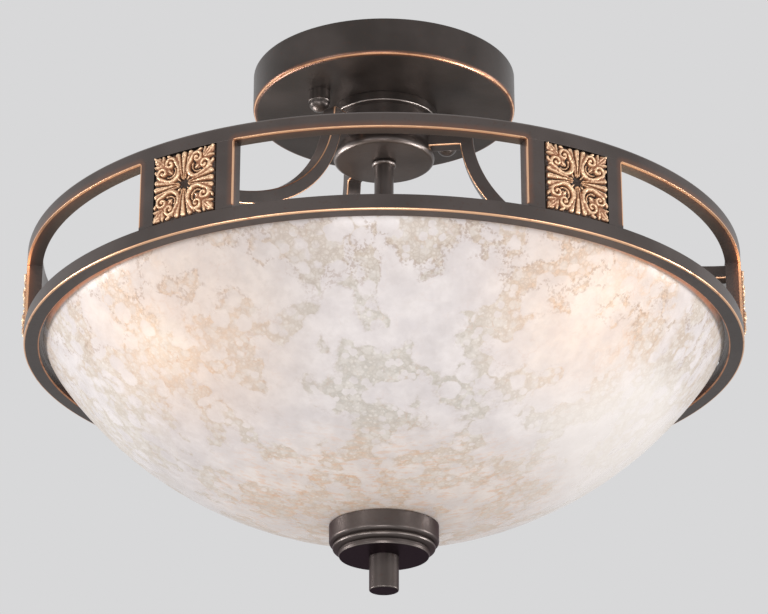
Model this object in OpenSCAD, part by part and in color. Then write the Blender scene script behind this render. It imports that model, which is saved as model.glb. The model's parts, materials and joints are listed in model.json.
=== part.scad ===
// Semi-flush ceiling light: canopy, hub, three arms, pierced ring with ornamented posts, glass bowl.
// The origin is the middle of the ceiling face, +Z is up, and the light hangs below it.
// Directions are in degrees from the front (-Y), positive towards +X.

/* [Canopy and ceiling strip] */
// Outside diameter of the canopy
canopy_d = 158.6; // [140:0.2:180]
// Height of the canopy
canopy_h = 23.4; // [21:0.2:30]
// Sheet thickness of the canopy
canopy_t = 1.2; // [0.8:0.1:2]
// Radius of the canopy's lower edge
canopy_edge_r = 2.4; // [2:0.1:4]
// Distance between the two studs
stud_spacing = 98; // [92:1:106]
// Direction of the left stud
stud_az = -51.4; // [-70:0.2:-40]
// Diameter of a stud
stud_d = 5; // [4:0.5:6]
// Diameter of a cap nut
cap_nut_d = 13; // [11:0.5:15]
// Height of a cap nut
cap_nut_h = 13; // [12:0.5:15]
// Length of the ceiling strip
strip_l = 128; // [124:1:136]
// Width of the ceiling strip
strip_w = 22; // [18:1:26]
// Thickness of the ceiling strip
strip_t = 2.5; // [2:0.1:3]
// Pitch circle of the two round screw holes in the strip
screw_pcd = 64; // [58:1:68]
// Diameter of the screw holes and width of the slots
screw_hole_d = 5; // [4:0.2:6]
// Length of a slot
slot_l = 14; // [10:1:16]
// Pitch circle of the two slots
slot_pcd = 36; // [34:1:40]
// Length of the terminal block
block_l = 30; // [24:1:34]
// Width of the terminal block
block_w = 17; // [14:1:20]
// Height of the terminal block
block_h = 12.5; // [10:0.5:14]

/* [Hub] */
// Diameter of the collar under the canopy
collar_d = 63.8; // [60:0.2:68]
// Height of the collar
collar_h = 5.6; // [3:0.2:7]
// Diameter of the hub's straight neck
hub_neck_d = 55.6; // [52:0.2:57]
// Diameter of the hub at its lower bead
hub_bead_d = 60.8; // [58:0.2:66]
// Height of the hub cup
hub_h = 27; // [26:0.5:32]
// Wall of the hub cup
hub_t = 1.5; // [1:0.1:2.5]
// Thickness of the plate that the arms hang from
hub_plate_t = 3; // [2:0.5:4]
// Gap from the collar down to the arms' legs
leg_drop = 11; // [10:0.5:12]
// Diameter of the small collar under the hub
rod_collar_d = 14.6; // [13:0.2:18]
// Height of the small collar under the hub
rod_collar_h = 3; // [2:0.5:6]

/* [Central tube] */
// Outside diameter of the central tube
tube_d = 10; // [9:0.5:12]
// Bore of the central tube
tube_bore_d = 7; // [6:0.5:8]
// Distance from the ceiling to the tube's upper end
tube_top_drop = 9; // [6:0.5:12]
// Outside diameter of the cover tube
cover_tube_d = 11.6; // [11:0.2:15]
// Running clearance around the central tube
tube_clear = 0.1; // [0.05:0.01:0.2]
// Width across the flats of the nuts on the tube
nut_af = 17; // [15:0.5:19]
// Height of a nut on the tube
nut_h = 4; // [3:0.5:5]
// Thickness of a steel washer on the tube
washer_t = 1; // [0.5:0.1:1.5]

/* [Ring] */
// Outside diameter of the ring
ring_d = 420; // [400:2:440]
// Radial thickness of the ring
ring_t = 9; // [8:0.5:12]
// Height of the ring
ring_h = 56.7; // [54:0.1:62]
// Distance from the ceiling to the ring's top edge
ring_drop = 126.7; // [120:0.5:134]
// Height of the top rail
top_rail_h = 8.5; // [6:0.5:10]
// Height of the bottom rail
low_rail_h = 8.8; // [6:0.2:10]
// Number of posts
post_n = 6; // [6:3:6]
// Width of a post, in degrees of the ring
post_angle = 16.4; // [16.4:0.2:19]
// Direction of the first post
post_az = 30; // [26:1:34]

/* [Tiles] */
// Side of a square tile
tile_w = 38.5; // [36:0.5:38.5]
// Thickness of a tile's back plate
tile_t = 2; // [1.5:0.1:2.2]
// Height of the ornament on its plate
relief_h = 3; // [2:0.1:3.4]
// Depth of the plain part of a tile's pocket, from the flat that touches its corners
pocket_depth = 2.6; // [2:0.1:3]
// Clearance around a tile in its pocket
pocket_gap = 0.8; // [0.4:0.1:1]

/* [Arms] */
// Number of arms
arm_n = 3; // [3:1:3]
// Width of an arm
arm_w = 9; // [7:0.5:10]
// Depth of an arm's bar
arm_depth = 8; // [7:0.5:9]
// Angle from the middle of a post to its arm
arm_shift_angle = -6.5; // [-7:0.5:7]
// Radius of an arm's upper outer corner, from the axis
arm_corner_r = 54; // [50:1:58]
// Distance from the ring's top edge down to the arm's upper side where it lands
arm_land_drop = 9.3; // [8:0.1:14]

/* [Lamps] */
// Direction of the right lamp; the left one is opposite
lamp_az = 77; // [74:1:78]
// Distance from the ring's top edge down to the lamps' axis
lamp_below_ring = 41.3; // [38:0.1:48]
// Width across the flats of the lamp block
lamp_block_af = 32; // [30:0.5:34]
// Height of the lamp block
lamp_block_h = 24; // [22:0.5:28]
// Wall of the lamp block
lamp_block_t = 2; // [1.5:0.1:3]
// Length of a lampholder's rear dome
dome_l = 26; // [24:0.5:28]
// Length of a lampholder's skirt
skirt_l = 36; // [34:0.5:38]
// Outside diameter of a lampholder
holder_d = 39; // [38:0.5:42]
// Wall of a lampholder
holder_t = 2.4; // [2:0.1:3]
// Diameter of a bulb's screw cap
cap_d = 26.4; // [26:0.1:27]
// Length of a bulb's screw cap
cap_l = 27; // [25:0.5:28]
// Diameter of a bulb's envelope
bulb_d = 60; // [56:0.5:60]
// Length of a bulb over all
bulb_l = 105; // [102:0.5:110]

/* [Glass bowl] */
// How much larger the bowl's sphere is than one through its rim
shoulder_ease = 2.5; // [1.5:0.1:4]
// Radius of the shoulder below the rim
shoulder_r = 60; // [52:0.5:70]
// Gap between the bowl's rim and the ring
rim_gap = 2.4; // [2:0.1:4]
// Depth of the bowl, from its rim to its lowest point
bowl_depth = 110; // [106:0.5:114]
// Thickness of the glass
glass_t = 4; // [3:0.2:5]
// How far the rim stands up inside the ring, from the ring's bottom edge
rim_rise = 5.4; // [3:0.2:8]
// Diameter of the hole in the bowl
bowl_hole_d = 13; // [12:0.5:16]
// Thickness of the rubber gaskets
gasket_t = 3; // [2:0.2:4]
// Diameter of the plate that the bowl is pulled up to
stop_d = 38; // [34:1:44]

/* [Finial] */
// Diameter of the finial cup
finial_d = 63; // [60:0.5:68]
// Height of the cup's straight band
finial_band_h = 11; // [9:0.5:13]
// Height of the stepped foot below the band
finial_foot_h = 7.6; // [6:0.2:11]
// Diameter of the cup's foot
finial_foot_d = 51.2; // [48:0.2:54]
// Width of the cup's raised lip
finial_lip = 3; // [2:0.2:4]
// Diameter of the finial's stem
stem_d = 17; // [15:0.5:19]
// Length of the finial's stem
stem_l = 20.2; // [18:0.2:26]

/* [Hidden] */

$fn = 96;
// Clearance of a screw in its hole and of a nut on its thread
fit = 0.05;
// Clearance between a curved face that turns or lowers and its neighbour
gap = 0.3;
// How far a cutting shape runs past the face that it cuts
past = 1;
// Steps in a small rounded edge, and in a long curve
edge_steps = 8;
curve_steps = 40;

bronze = "#2d2725";
steel = "#b9bbbd";
brass = "#b98a3c";
copper = "#c08257";
white = "#f1efe9";

// Heights, from the ceiling down
hub_top = -canopy_h - collar_h;
hub_bottom = hub_top - hub_h;
leg_top = hub_top - leg_drop;
leg_bottom = leg_top - arm_depth;
plate_top = leg_top + hub_plate_t;
ring_top = -ring_drop;
ring_bottom = ring_top - ring_h;
window_top = ring_top - top_rail_h;
window_bottom = ring_bottom + low_rail_h;
lamp_z = ring_top - lamp_below_ring;
block_top = lamp_z + lamp_block_h / 2;
block_bottom = lamp_z - lamp_block_h / 2;
rim_z = ring_bottom + rim_rise;
bowl_bottom = rim_z - bowl_depth;

// Radii
ring_ro = ring_d / 2;
ring_ri = ring_ro - ring_t;
rim_r = ring_ri - rim_gap;
// The bowl's sphere is a little larger than one through its rim and its lowest point
bowl_r = (rim_r * rim_r + bowl_depth * bowl_depth) / (2 * bowl_depth) + shoulder_ease;
tube_r = tube_d / 2;
tube_hole_r = tube_r + tube_clear;
stud_r = stud_d / 2;
neck_r = hub_neck_d / 2;
bead_r = hub_bead_d / 2;

// Turns a piece that points along +X to a direction measured from the front
module towards(az) rotate([0, 0, az - 90]) children();

// A ring with a rectangular section
module turned(r_in, r_out, z_low, z_high)
    rotate_extrude() translate([r_in, z_low]) square([r_out - r_in, z_high - z_low]);

// A hexagon nut on the central tube
module hex_nut(z_low) difference() {
    translate([0, 0, z_low]) cylinder(r = nut_af / 2 / cos(30), h = nut_h, $fn = 6);
    translate([0, 0, z_low - past]) cylinder(r = tube_hole_r, h = nut_h + 2 * past);
}

// Points on an arc, from one angle to another
function arc(cx, cy, r, a0, a1, n) =
    [for (i = [0:n]) let (a = a0 + (a1 - a0) * i / n) [cx + r * cos(a), cy + r * sin(a)]];

function reversed(list) = [for (i = [len(list) - 1:-1:0]) list[i]];

// A round wire along a route of points
wire_sides = 8;
function along(p, i) = let (a = p[max(i - 1, 0)], b = p[min(i + 1, len(p) - 1)]) (b - a) / norm(b - a);
function across(t) = let (s = cross(t, [0.3, 1, 0.2])) s / norm(s);
module wire(p, r) {
    n = wire_sides;
    rings = [for (i = [0:len(p) - 1]) let (t = along(p, i), u = across(t), v = cross(t, u))
        for (k = [0:n - 1]) p[i] + r * (u * cos(360 * k / n) + v * sin(360 * k / n))];
    last = (len(p) - 1) * n;
    polyhedron(rings, concat(
        [[for (k = [0:n - 1]) k]],
        [for (i = [0:len(p) - 2]) for (k = [0:n - 1]) let (a = i * n + k, b = i * n + (k + 1) % n)
            each [[a, a + n, b], [b, a + n, b + n]]],
        [[for (k = [n - 1:-1:0]) last + k]]));
}

// Ceiling strip and wiring

wing_margin = 3;
wing_l = block_l + 2 * wing_margin;
wing_w = block_w + 2 * wing_margin;
cable_hole_d = 12;
earth_r = (screw_pcd + stud_spacing) / 4;
earth_shank_r = 2;
earth_head_r = 3.5;
earth_head_h = 2.5;
block_y = strip_w / 2 + wing_margin;

module strip_hole(x, d)
    translate([x, 0, -strip_t - past]) cylinder(d = d, h = strip_t + 2 * past);

module ceiling_strip() color(steel) towards(stud_az) difference() {
    translate([0, 0, -strip_t]) linear_extrude(strip_t) union() {
        square([strip_l, strip_w], center = true);
        translate([-wing_l / 2, 0]) square([wing_l, strip_w / 2 + wing_w]);
    }
    strip_hole(0, cable_hole_d);
    strip_hole(-earth_r, 2 * earth_shank_r);
    for (s = [-1, 1]) {
        strip_hole(s * stud_spacing / 2, stud_d);
        strip_hole(s * screw_pcd / 2, screw_hole_d);
        for (e = [-1, 1]) strip_hole(s * slot_pcd / 2 + e * (slot_l - screw_hole_d) / 2, screw_hole_d);
        translate([s * slot_pcd / 2, 0, -strip_t / 2])
            cube([slot_l - screw_hole_d, screw_hole_d, strip_t + 2 * past], center = true);
    }
}

// A cap nut's solid end, and how far a stud goes into the nut
cap_nut_end = 5.2;
stud_reach = cap_nut_h - cap_nut_end;
module studs() color(steel) towards(stud_az) for (s = [-1, 1])
    translate([s * stud_spacing / 2, 0, -canopy_h - stud_reach])
        cylinder(r = stud_r, h = canopy_h + stud_reach);

module earth_screw() color(brass) towards(stud_az) translate([-earth_r, 0, 0]) {
    translate([0, 0, -strip_t]) cylinder(r = earth_shank_r, h = strip_t);
    translate([0, 0, -strip_t - earth_head_h]) cylinder(r = earth_head_r, h = earth_head_h);
}

pole_n = 3;
pole_pitch = block_l / pole_n;
entry_r = 1.7;
terminal_screw_r = 2;
terminal_screw_h = 4;
terminal_screw_sink = 1;
terminal_screw_places = [0.25, 0.75] * block_w;
module pole_places() for (i = [0:pole_n - 1])
    translate([(i - (pole_n - 1) / 2) * pole_pitch, 0, 0]) children();

module terminal_block() color(white) towards(stud_az)
    translate([0, block_y, -strip_t - block_h]) difference() {
        translate([-block_l / 2, 0, 0]) cube([block_l, block_w, block_h]);
        pole_places() {
            translate([0, -past, block_h / 2]) rotate([-90, 0, 0])
                cylinder(r = entry_r, h = block_w + 2 * past);
            for (y = terminal_screw_places) translate([0, y, -past])
                cylinder(r = terminal_screw_r, h = terminal_screw_h + past);
        }
    }

module terminal_screws() color(brass) towards(stud_az) translate([0, block_y, -strip_t - block_h])
    pole_places() for (y = terminal_screw_places) translate([0, y, terminal_screw_sink])
        cylinder(r = terminal_screw_r, h = terminal_screw_h - terminal_screw_sink);

// Each lead bends over the tube's end, runs down its bore and ends inside the lamp block
lead_r = 0.9;
lead_ring_r = 1.7;
lead_bend = 1.6;
lead_in_block = 6;
lead_end_drop = 6;
lead_top = -strip_t - 2.6;
tube_top = -tube_top_drop;
function down_the_tube(x, y) = [
    [x, y, lead_top - lead_bend], [x, y, tube_top - 2.5 * lead_bend], [x, y, lamp_z / 2],
    [x, y, block_top - lead_end_drop]];
function lead_from_block(pole, x, y) = let (px = (pole - 1) * pole_pitch, bz = -strip_t - block_h / 2) concat(
    [[px, block_y + lead_in_block, bz], [px, block_y, bz],
     [px, block_y - 2 * lead_bend, bz + lead_bend / 2],
     [px * 0.7 + x * 0.3, block_y / 2, lead_top], [px * 0.25 + x * 0.75, y + 1.4 * lead_bend, lead_top],
     [x, y + lead_bend / 2, lead_top - lead_bend / 5]],
    down_the_tube(x, y));
function lead_from_earth(x, y) = let (start = -earth_r + earth_head_r) concat(
    [[start, 0, -strip_t - earth_head_h + lead_r], [start + 5 * lead_bend, -lead_r, lead_top - lead_bend / 3],
     [-earth_r / 2, -2 * lead_r, lead_top], [x - 3 * lead_bend, y, lead_top],
     [x - lead_bend, y, lead_top], [x - lead_bend / 4, y, lead_top - lead_bend / 2]],
    down_the_tube(x, y));
module lead_live() color("#6b4028") towards(stud_az)
    wire(lead_from_block(2, lead_ring_r * cos(30), lead_ring_r * sin(30)), lead_r);
module lead_neutral() color("#3f6ea8") towards(stud_az)
    wire(lead_from_block(0, -lead_ring_r * cos(30), lead_ring_r * sin(30)), lead_r);
module lead_earth() color("#7f9a3a") towards(stud_az) wire(lead_from_earth(0, -lead_ring_r), lead_r);

// Canopy

canopy_r = canopy_d / 2;
canopy_edge_x = canopy_r - canopy_edge_r;
canopy_edge_z = -canopy_h + canopy_edge_r;
module canopy() color(bronze) difference() {
    rotate_extrude() polygon(concat(
        [[tube_hole_r, -canopy_h]],
        arc(canopy_edge_x, canopy_edge_z, canopy_edge_r, -90, 0, edge_steps),
        [[canopy_r, 0], [canopy_r - canopy_t, 0]],
        arc(canopy_edge_x, canopy_edge_z, canopy_edge_r - canopy_t, 0, -90, edge_steps),
        [[tube_hole_r, -canopy_h + canopy_t]]));
    towards(stud_az) for (s = [-1, 1]) translate([s * stud_spacing / 2, 0, -canopy_h - past])
        cylinder(r = stud_r + gap, h = canopy_t + 2 * past);
}

cap_nut_r = cap_nut_d / 2;
module cap_nut(side) color(bronze) towards(stud_az) translate([side * stud_spacing / 2, 0, -canopy_h])
    difference() {
        rotate_extrude() polygon(concat(
            [[0, 0], [cap_nut_r, 0], [cap_nut_r, -cap_nut_h + cap_nut_r]],
            arc(0, -cap_nut_h + cap_nut_r, cap_nut_r, 0, -90, edge_steps)));
        translate([0, 0, -stud_reach - past]) cylinder(r = stud_r + fit, h = stud_reach + 2 * past);
    }
module cap_nut_left() cap_nut(1);
module cap_nut_right() cap_nut(-1);

canopy_floor = -canopy_h + canopy_t;
washer_margin = 1.5;
module canopy_washer() color(steel)
    turned(tube_hole_r, nut_af / 2 + washer_margin, canopy_floor, canopy_floor + washer_t);
module canopy_nut() color(steel) hex_nut(canopy_floor + washer_t);

// Hub

collar_r = collar_d / 2;
broken_edge = 0.6;
module hub_collar() color(bronze) rotate_extrude() polygon([
    [tube_hole_r, -canopy_h], [collar_r, -canopy_h], [collar_r, hub_top + broken_edge],
    [collar_r - broken_edge, hub_top], [tube_hole_r, hub_top]]);

flare_h = 7.5;
bead_edge_r = 2.6;
bead_x = bead_r - bead_edge_r;
bead_z = hub_bottom + bead_edge_r;
// The cup's outer side, or its inner side for a wall above 0
function hub_side(wall) = concat(
    [[neck_r - wall, hub_top]],
    [for (i = [0:edge_steps]) let (u = i / edge_steps)
        [neck_r - wall + (bead_r - neck_r) * (1 - cos(180 * u)) / 2, bead_z + flare_h * (1 - u)]],
    arc(bead_x, bead_z, bead_edge_r - wall, 0, -90, edge_steps));
arm_slot_l = bead_r - neck_r + hub_t + 3 * past;
module hub_cup() color(bronze) difference() {
    rotate_extrude() polygon(concat(hub_side(0),
        [[tube_hole_r, hub_bottom], [tube_hole_r, hub_bottom + hub_t]], reversed(hub_side(hub_t))));
    for (i = [1:arm_n]) towards(arm_az(i))
        translate([neck_r - hub_t - 2 * past, -arm_w / 2 - gap, leg_bottom - gap])
            cube([arm_slot_l, arm_w + 2 * gap, arm_depth + 2 * gap]);
}

hub_screw_r = 2;
hub_screw_ring_r = 20.5;
hub_screw_head_r = 3.6;
hub_screw_head_h = 2.4;
module hub_plate() color(steel) difference() {
    turned(tube_hole_r, neck_r - hub_t - gap, leg_top, plate_top);
    for (i = [1:arm_n]) towards(arm_az(i)) translate([hub_screw_ring_r, 0, leg_top - past])
        cylinder(r = hub_screw_r + fit, h = hub_plate_t + 2 * past);
}
module hub_screws() color(steel) for (i = [1:arm_n]) towards(arm_az(i)) translate([hub_screw_ring_r, 0, 0]) {
    translate([0, 0, leg_bottom]) cylinder(r = hub_screw_r, h = plate_top - leg_bottom);
    translate([0, 0, leg_bottom - hub_screw_head_h]) cylinder(r = hub_screw_head_r, h = hub_screw_head_h);
}
module hub_nut() color(steel) hex_nut(leg_top - nut_h);

// Central tube and its sleeve

function glass_z(r) = bowl_bottom + bowl_r - sqrt(bowl_r * bowl_r - r * r);
finial_r = finial_d / 2;
cup_top = glass_z(finial_r) - gap;
cup_floor = bowl_bottom - gasket_t;
cup_bottom = cup_top - finial_band_h - finial_foot_h;
tube_in_stem = 13;
tube_end = cup_bottom - tube_in_stem;
side_slot_r = 3;
module central_tube() color(steel) difference() {
    turned(tube_bore_d / 2, tube_r, tube_end, tube_top);
    towards(lamp_az) translate([0, 0, lamp_z]) rotate([0, 90, 0])
        cylinder(r = side_slot_r, h = tube_d + 2 * past, center = true);
}

rod_collar_bottom = hub_bottom - rod_collar_h;
cover_tube_r = cover_tube_d / 2;
rod_collar_edge_r = rod_collar_h / 2;
module rod_collar() color(bronze) rotate_extrude() polygon(concat(
    [[tube_hole_r, hub_bottom]],
    arc(rod_collar_d / 2 - rod_collar_edge_r, hub_bottom - rod_collar_edge_r, rod_collar_edge_r,
        90, -90, edge_steps),
    [[tube_hole_r, rod_collar_bottom]]));
module cover_tube() color(bronze) turned(tube_hole_r, cover_tube_r, block_top, rod_collar_bottom);

// Arms

function post_direction(i) = post_az + (i - 1) * 360 / post_n;
function arm_az(i) = post_direction(i * post_n / arm_n) + arm_shift_angle;
arm_a = ring_ri - arm_corner_r;
arm_b = leg_top - (ring_top - arm_land_drop);
leg_start_r = 14;
// Upper or lower side of the sweep, a quarter of an ellipse from the leg out to the ring's inner face
function sweep_side(out, z_from) = let (a = arm_a + out, b = arm_b + out, t0 = asin((leg_top - z_from) / b))
    [for (i = [0:curve_steps]) let (t = t0 + (90 - t0) * i / curve_steps)
        [ring_ri - a * cos(t), leg_top - b * sin(t)]];
arm_end_x = ring_ri + past;
arm_end_z = ring_top - arm_land_drop;
module arm(i) color(bronze) difference() {
    towards(arm_az(i)) rotate([90, 0, 0]) linear_extrude(arm_w, center = true) polygon(concat(
        [[leg_start_r, leg_top]],
        sweep_side(0, leg_top),
        [[arm_end_x, arm_end_z], [arm_end_x, arm_end_z - arm_depth]],
        reversed(sweep_side(arm_depth, leg_bottom)),
        [[leg_start_r, leg_bottom]]));
    turned(ring_ri, ring_ro, ring_bottom, ring_top);
    towards(arm_az(i)) translate([hub_screw_ring_r, 0, leg_bottom - past])
        cylinder(r = hub_screw_r + fit, h = arm_depth + 2 * past);
}
module arm_1() arm(1);
module arm_2() arm(2);
module arm_3() arm(3);

// Ring

edge = 0.8;
// A rail with its outward edges broken, at the top or at the bottom
module rail(z_low, z_high, chamfer_top) let (t = chamfer_top ? edge : 0, b = edge - t)
    rotate_extrude() polygon([
        [ring_ri + b, z_low], [ring_ro - b, z_low], [ring_ro, z_low + b], [ring_ro, z_high - t],
        [ring_ro - t, z_high], [ring_ri + t, z_high], [ring_ri, z_high - t], [ring_ri, z_low + b]]);
module top_rail() color(bronze) rail(window_top, ring_top, true);
module bottom_rail() color(bronze) rail(ring_bottom, window_bottom, false);

tile_z = (window_top + window_bottom) / 2;
pocket_w = tile_w + 2 * pocket_gap;
pocket_flat = sqrt(ring_ro * ring_ro - pocket_w * pocket_w / 4);
pocket_floor = pocket_flat - pocket_depth;
module posts() color(bronze) for (i = [1:post_n]) towards(post_direction(i)) difference() {
    rotate([0, 0, -post_angle / 2]) rotate_extrude(angle = post_angle)
        translate([ring_ri, window_bottom]) square([ring_t, window_top - window_bottom]);
    translate([pocket_floor, -pocket_w / 2, tile_z - pocket_w / 2]) cube([ring_t, pocket_w, pocket_w]);
}

// Tiles: a square plate with a four-fold scroll and leaf ornament around a small diamond

scroll_at = 6.4;
scroll_r = 4.3;
scroll_eye_r = 2.2;
scroll_eye_at = [0.8, 0.4];
side_leaf_at = [12.6, 6.2];
corner_leaf_at = [12.8, 12.8];
leaf_r = 2.6;
leaf_tip_r = 1.9;
leaf_tip_at = 3.4;
rib_from = 4.5;
rib_l = 13;
rib_w = 1.5;
rib_angles = [-13, 0, 13];
diamond_w = 4.6;
diamond_rise = 0.6;
module leaf(turn) rotate(turn) union() {
    circle(r = leaf_r, $fn = 24);
    translate([leaf_tip_at, 0]) circle(r = leaf_tip_r, $fn = 20);
}
module quarter() {
    translate([scroll_at, scroll_at]) difference() {
        circle(r = scroll_r, $fn = 32);
        translate(scroll_eye_at) circle(r = scroll_eye_r, $fn = 24);
    }
    translate(side_leaf_at) leaf(10);
    translate([side_leaf_at.y, side_leaf_at.x]) leaf(80);
    translate(corner_leaf_at) leaf(45);
    for (a = rib_angles) rotate(a) translate([rib_from, -rib_w / 2]) square([rib_l, rib_w]);
}
module tile(i) color(copper) towards(post_direction(i))
    translate([pocket_floor, 0, tile_z]) rotate([0, 90, 0]) {
        linear_extrude(tile_t) square(tile_w, center = true);
        translate([0, 0, tile_t]) linear_extrude(relief_h - diamond_rise) intersection() {
            union() for (k = [0:3]) rotate(90 * k) quarter();
            square(tile_w, center = true);
        }
        translate([0, 0, tile_t]) rotate(45) linear_extrude(relief_h) square(diamond_w, center = true);
    }
module tile_1() tile(1);
module tile_2() tile(2);
module tile_3() tile(3);
module tile_4() tile(4);
module tile_5() tile(5);
module tile_6() tile(6);

// Lamp block

half_side = 360 / 16;
block_cr = lamp_block_af / 2 / cos(half_side);
module octagon(r, z_low, z_high) towards(lamp_az) rotate([0, 0, half_side])
    translate([0, 0, z_low]) cylinder(r = r, h = z_high - z_low, $fn = 8);
module lamp_block() color(bronze) difference() {
    octagon(block_cr, block_bottom, block_top);
    octagon(block_cr - lamp_block_t / cos(half_side), block_bottom - past, block_top - lamp_block_t);
    translate([0, 0, block_bottom]) cylinder(r = tube_hole_r, h = lamp_block_h + past);
    towards(lamp_az) translate([0, 0, lamp_z]) rotate([0, 90, 0])
        cylinder(r = tube_r + fit, h = 2 * block_cr, center = true);
}
lid_bottom = block_bottom - lamp_block_t;
module lamp_block_lid() color(bronze) difference() {
    octagon(block_cr, lid_bottom, block_bottom);
    translate([0, 0, lid_bottom - past]) cylinder(r = tube_hole_r, h = lamp_block_t + 2 * past);
}
module lamp_block_nut() color(bronze) hex_nut(lid_bottom - nut_h);

// Turns a piece whose axis is +Z so that it points out from the lamp block
module lamp_axis(side) towards(lamp_az + (side > 0 ? 0 : 180)) translate([0, 0, lamp_z]) rotate([0, 90, 0])
    children();

holder_start = lamp_block_af / 2;
nipple_in = 3;
nipple_out = 8;
module side_nipples() color(steel) for (side = [-1, 1]) lamp_axis(side)
    turned(tube_bore_d / 2, tube_r, holder_start - lamp_block_t - nipple_in, holder_start + nipple_out);

// Lampholders, drawn along their own axis, which starts at the light's axis

skirt_start = holder_start + dome_l;
skirt_end = skirt_start + skirt_l;
insert_t = 6;
contact_r = 2;
contact_h = 1.8;
contact_root = 5;
contact_gap = 0.2;
bulb_start = skirt_start + insert_t + contact_h + contact_gap;
holder_r = holder_d / 2;
holder_inner_r = holder_r - holder_t;
boss_r = tube_r + 4.5;
boss_l = 7;
// The dome's outer side, or its inner side for a wall above 0: a quarter of an ellipse
function dome_side(wall) = [for (i = [0:edge_steps]) let (a = 90 * i / edge_steps)
    [boss_r - wall + (holder_r - boss_r) * sin(a),
     holder_start + boss_l + wall + (dome_l - boss_l - wall) * (1 - cos(a))]];
module holder_dome(side) color("#26221f") lamp_axis(side) rotate_extrude() polygon(concat(
    [[tube_r + fit, holder_start], [boss_r, holder_start]], dome_side(0),
    reversed(dome_side(holder_t)), [[tube_r + fit, holder_start + boss_l + holder_t]]));

lip_h = 3;
lip_r = cap_d / 2 + 1.8;
skirt_edge = 1;
module holder_skirt(side) color("#26221f") lamp_axis(side) rotate_extrude() polygon([
    [holder_inner_r, skirt_start], [holder_r, skirt_start], [holder_r, skirt_end - skirt_edge],
    [holder_r - skirt_edge, skirt_end], [lip_r, skirt_end], [lip_r, skirt_end - lip_h],
    [holder_inner_r, skirt_end - lip_h]]);

module holder_insert(side) color(white) lamp_axis(side) {
    turned(contact_r, holder_inner_r, skirt_start, skirt_start + insert_t);
    translate([0, 0, skirt_start + insert_t - contact_root])
        cylinder(r = contact_r, h = contact_root + contact_h);
}

shell_t = 0.6;
shell_l = 21;
shell_gap = 0.5;
shell_in_r = cap_d / 2 + shell_gap;
module screw_shell(side) color(brass) lamp_axis(side)
    turned(shell_in_r, shell_in_r + shell_t, skirt_start + insert_t, skirt_start + insert_t + shell_l);

module holder_dome_right() holder_dome(1);
module holder_dome_left() holder_dome(-1);
module holder_skirt_right() holder_skirt(1);
module holder_skirt_left() holder_skirt(-1);
module holder_insert_right() holder_insert(1);
module holder_insert_left() holder_insert(-1);
module screw_shell_right() screw_shell(1);
module screw_shell_left() screw_shell(-1);

// Bulbs

cap_r = cap_d / 2;
tip_r = 4.5;
tip_h = 1.4;
insulator_r = cap_r - 2.5;
thread_pitch = 3.6;
thread_depth = 0.7;
thread_from = 5;
thread_to = cap_l - 4;
thread_steps = 6;
collar_l = 2;
module bulb_cap(side) color("#c9cbcc") lamp_axis(side) translate([0, 0, bulb_start])
    rotate_extrude() polygon(concat(
        [[0, 0], [tip_r, 0], [tip_r, tip_h], [insulator_r, thread_from - 1]],
        [for (z = [thread_from:thread_pitch / thread_steps:thread_to])
            [cap_r - thread_depth * (1 + cos(360 * (z - thread_from) / thread_pitch)) / 2, z]],
        [[cap_r - thread_depth, cap_l - collar_l - 1], [cap_r, cap_l - collar_l], [cap_r, cap_l],
         [0, cap_l]]));

bulb_r = bulb_d / 2;
bulb_t = 0.9;
neck_end = 4;
neck_bulb_r = cap_r - 0.2;
globe_z = bulb_l - cap_l - bulb_r;
// Where the neck's curve meets the globe, in degrees below the globe's widest circle
join_angle = 35;
neck_steps = 12;
// Smooth curve from a straight neck to the globe
function neck_curve(wall) = let (
    z1 = globe_z - (bulb_r - wall) * sin(join_angle), r1 = (bulb_r - wall) * cos(join_angle),
    r0 = neck_bulb_r - wall, l = z1 - neck_end, m = tan(join_angle))
    [for (i = [0:neck_steps]) let (s = i / neck_steps)
        [r0 + (r1 - r0) * (3 * s * s - 2 * s * s * s) + m * l * (s * s * s - s * s), neck_end + l * s]];
globe_steps = 20;
globe_step = (90 + join_angle) / globe_steps;
function bulb_side(wall) = concat([[neck_bulb_r - wall, 0]], neck_curve(wall),
    arc(0, globe_z, bulb_r - wall, globe_step - join_angle, 90, globe_steps - 1));
module bulb(side) color("#f4ecd8") lamp_axis(side) translate([0, 0, bulb_start + cap_l])
    rotate_extrude() polygon(concat(bulb_side(0), reversed(bulb_side(bulb_t))));

module bulb_right() bulb(1);
module bulb_left() bulb(-1);
module bulb_cap_right() bulb_cap(1);
module bulb_cap_left() bulb_cap(-1);

// Glass bowl: a sphere that meets a tighter shoulder arc, which ends at the rim

sphere_z = bowl_bottom + bowl_r;
arm_of_shoulder = bowl_r - shoulder_r;
rim_dist = norm([rim_r, rim_z - sphere_z]);
rim_angle = atan2(rim_z - sphere_z, rim_r);
join = rim_angle - acos((arm_of_shoulder * arm_of_shoulder + rim_dist * rim_dist - shoulder_r * shoulder_r)
    / (2 * arm_of_shoulder * rim_dist));
shoulder_x = arm_of_shoulder * cos(join);
shoulder_z = sphere_z + arm_of_shoulder * sin(join);
rim_turn = atan2(rim_z - shoulder_z, rim_r - shoulder_x);
bowl_hole_r = bowl_hole_d / 2;
function bowl_side(wall) = concat(
    arc(0, sphere_z, bowl_r - wall, -acos(bowl_hole_r / (bowl_r - wall)), join, curve_steps),
    arc(shoulder_x, shoulder_z, shoulder_r - wall, join, rim_turn, edge_steps));
rim_mid_r = shoulder_r - glass_t / 2;
rim_mid = [shoulder_x + rim_mid_r * cos(rim_turn), shoulder_z + rim_mid_r * sin(rim_turn)];
rim_step = 180 / edge_steps;
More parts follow.
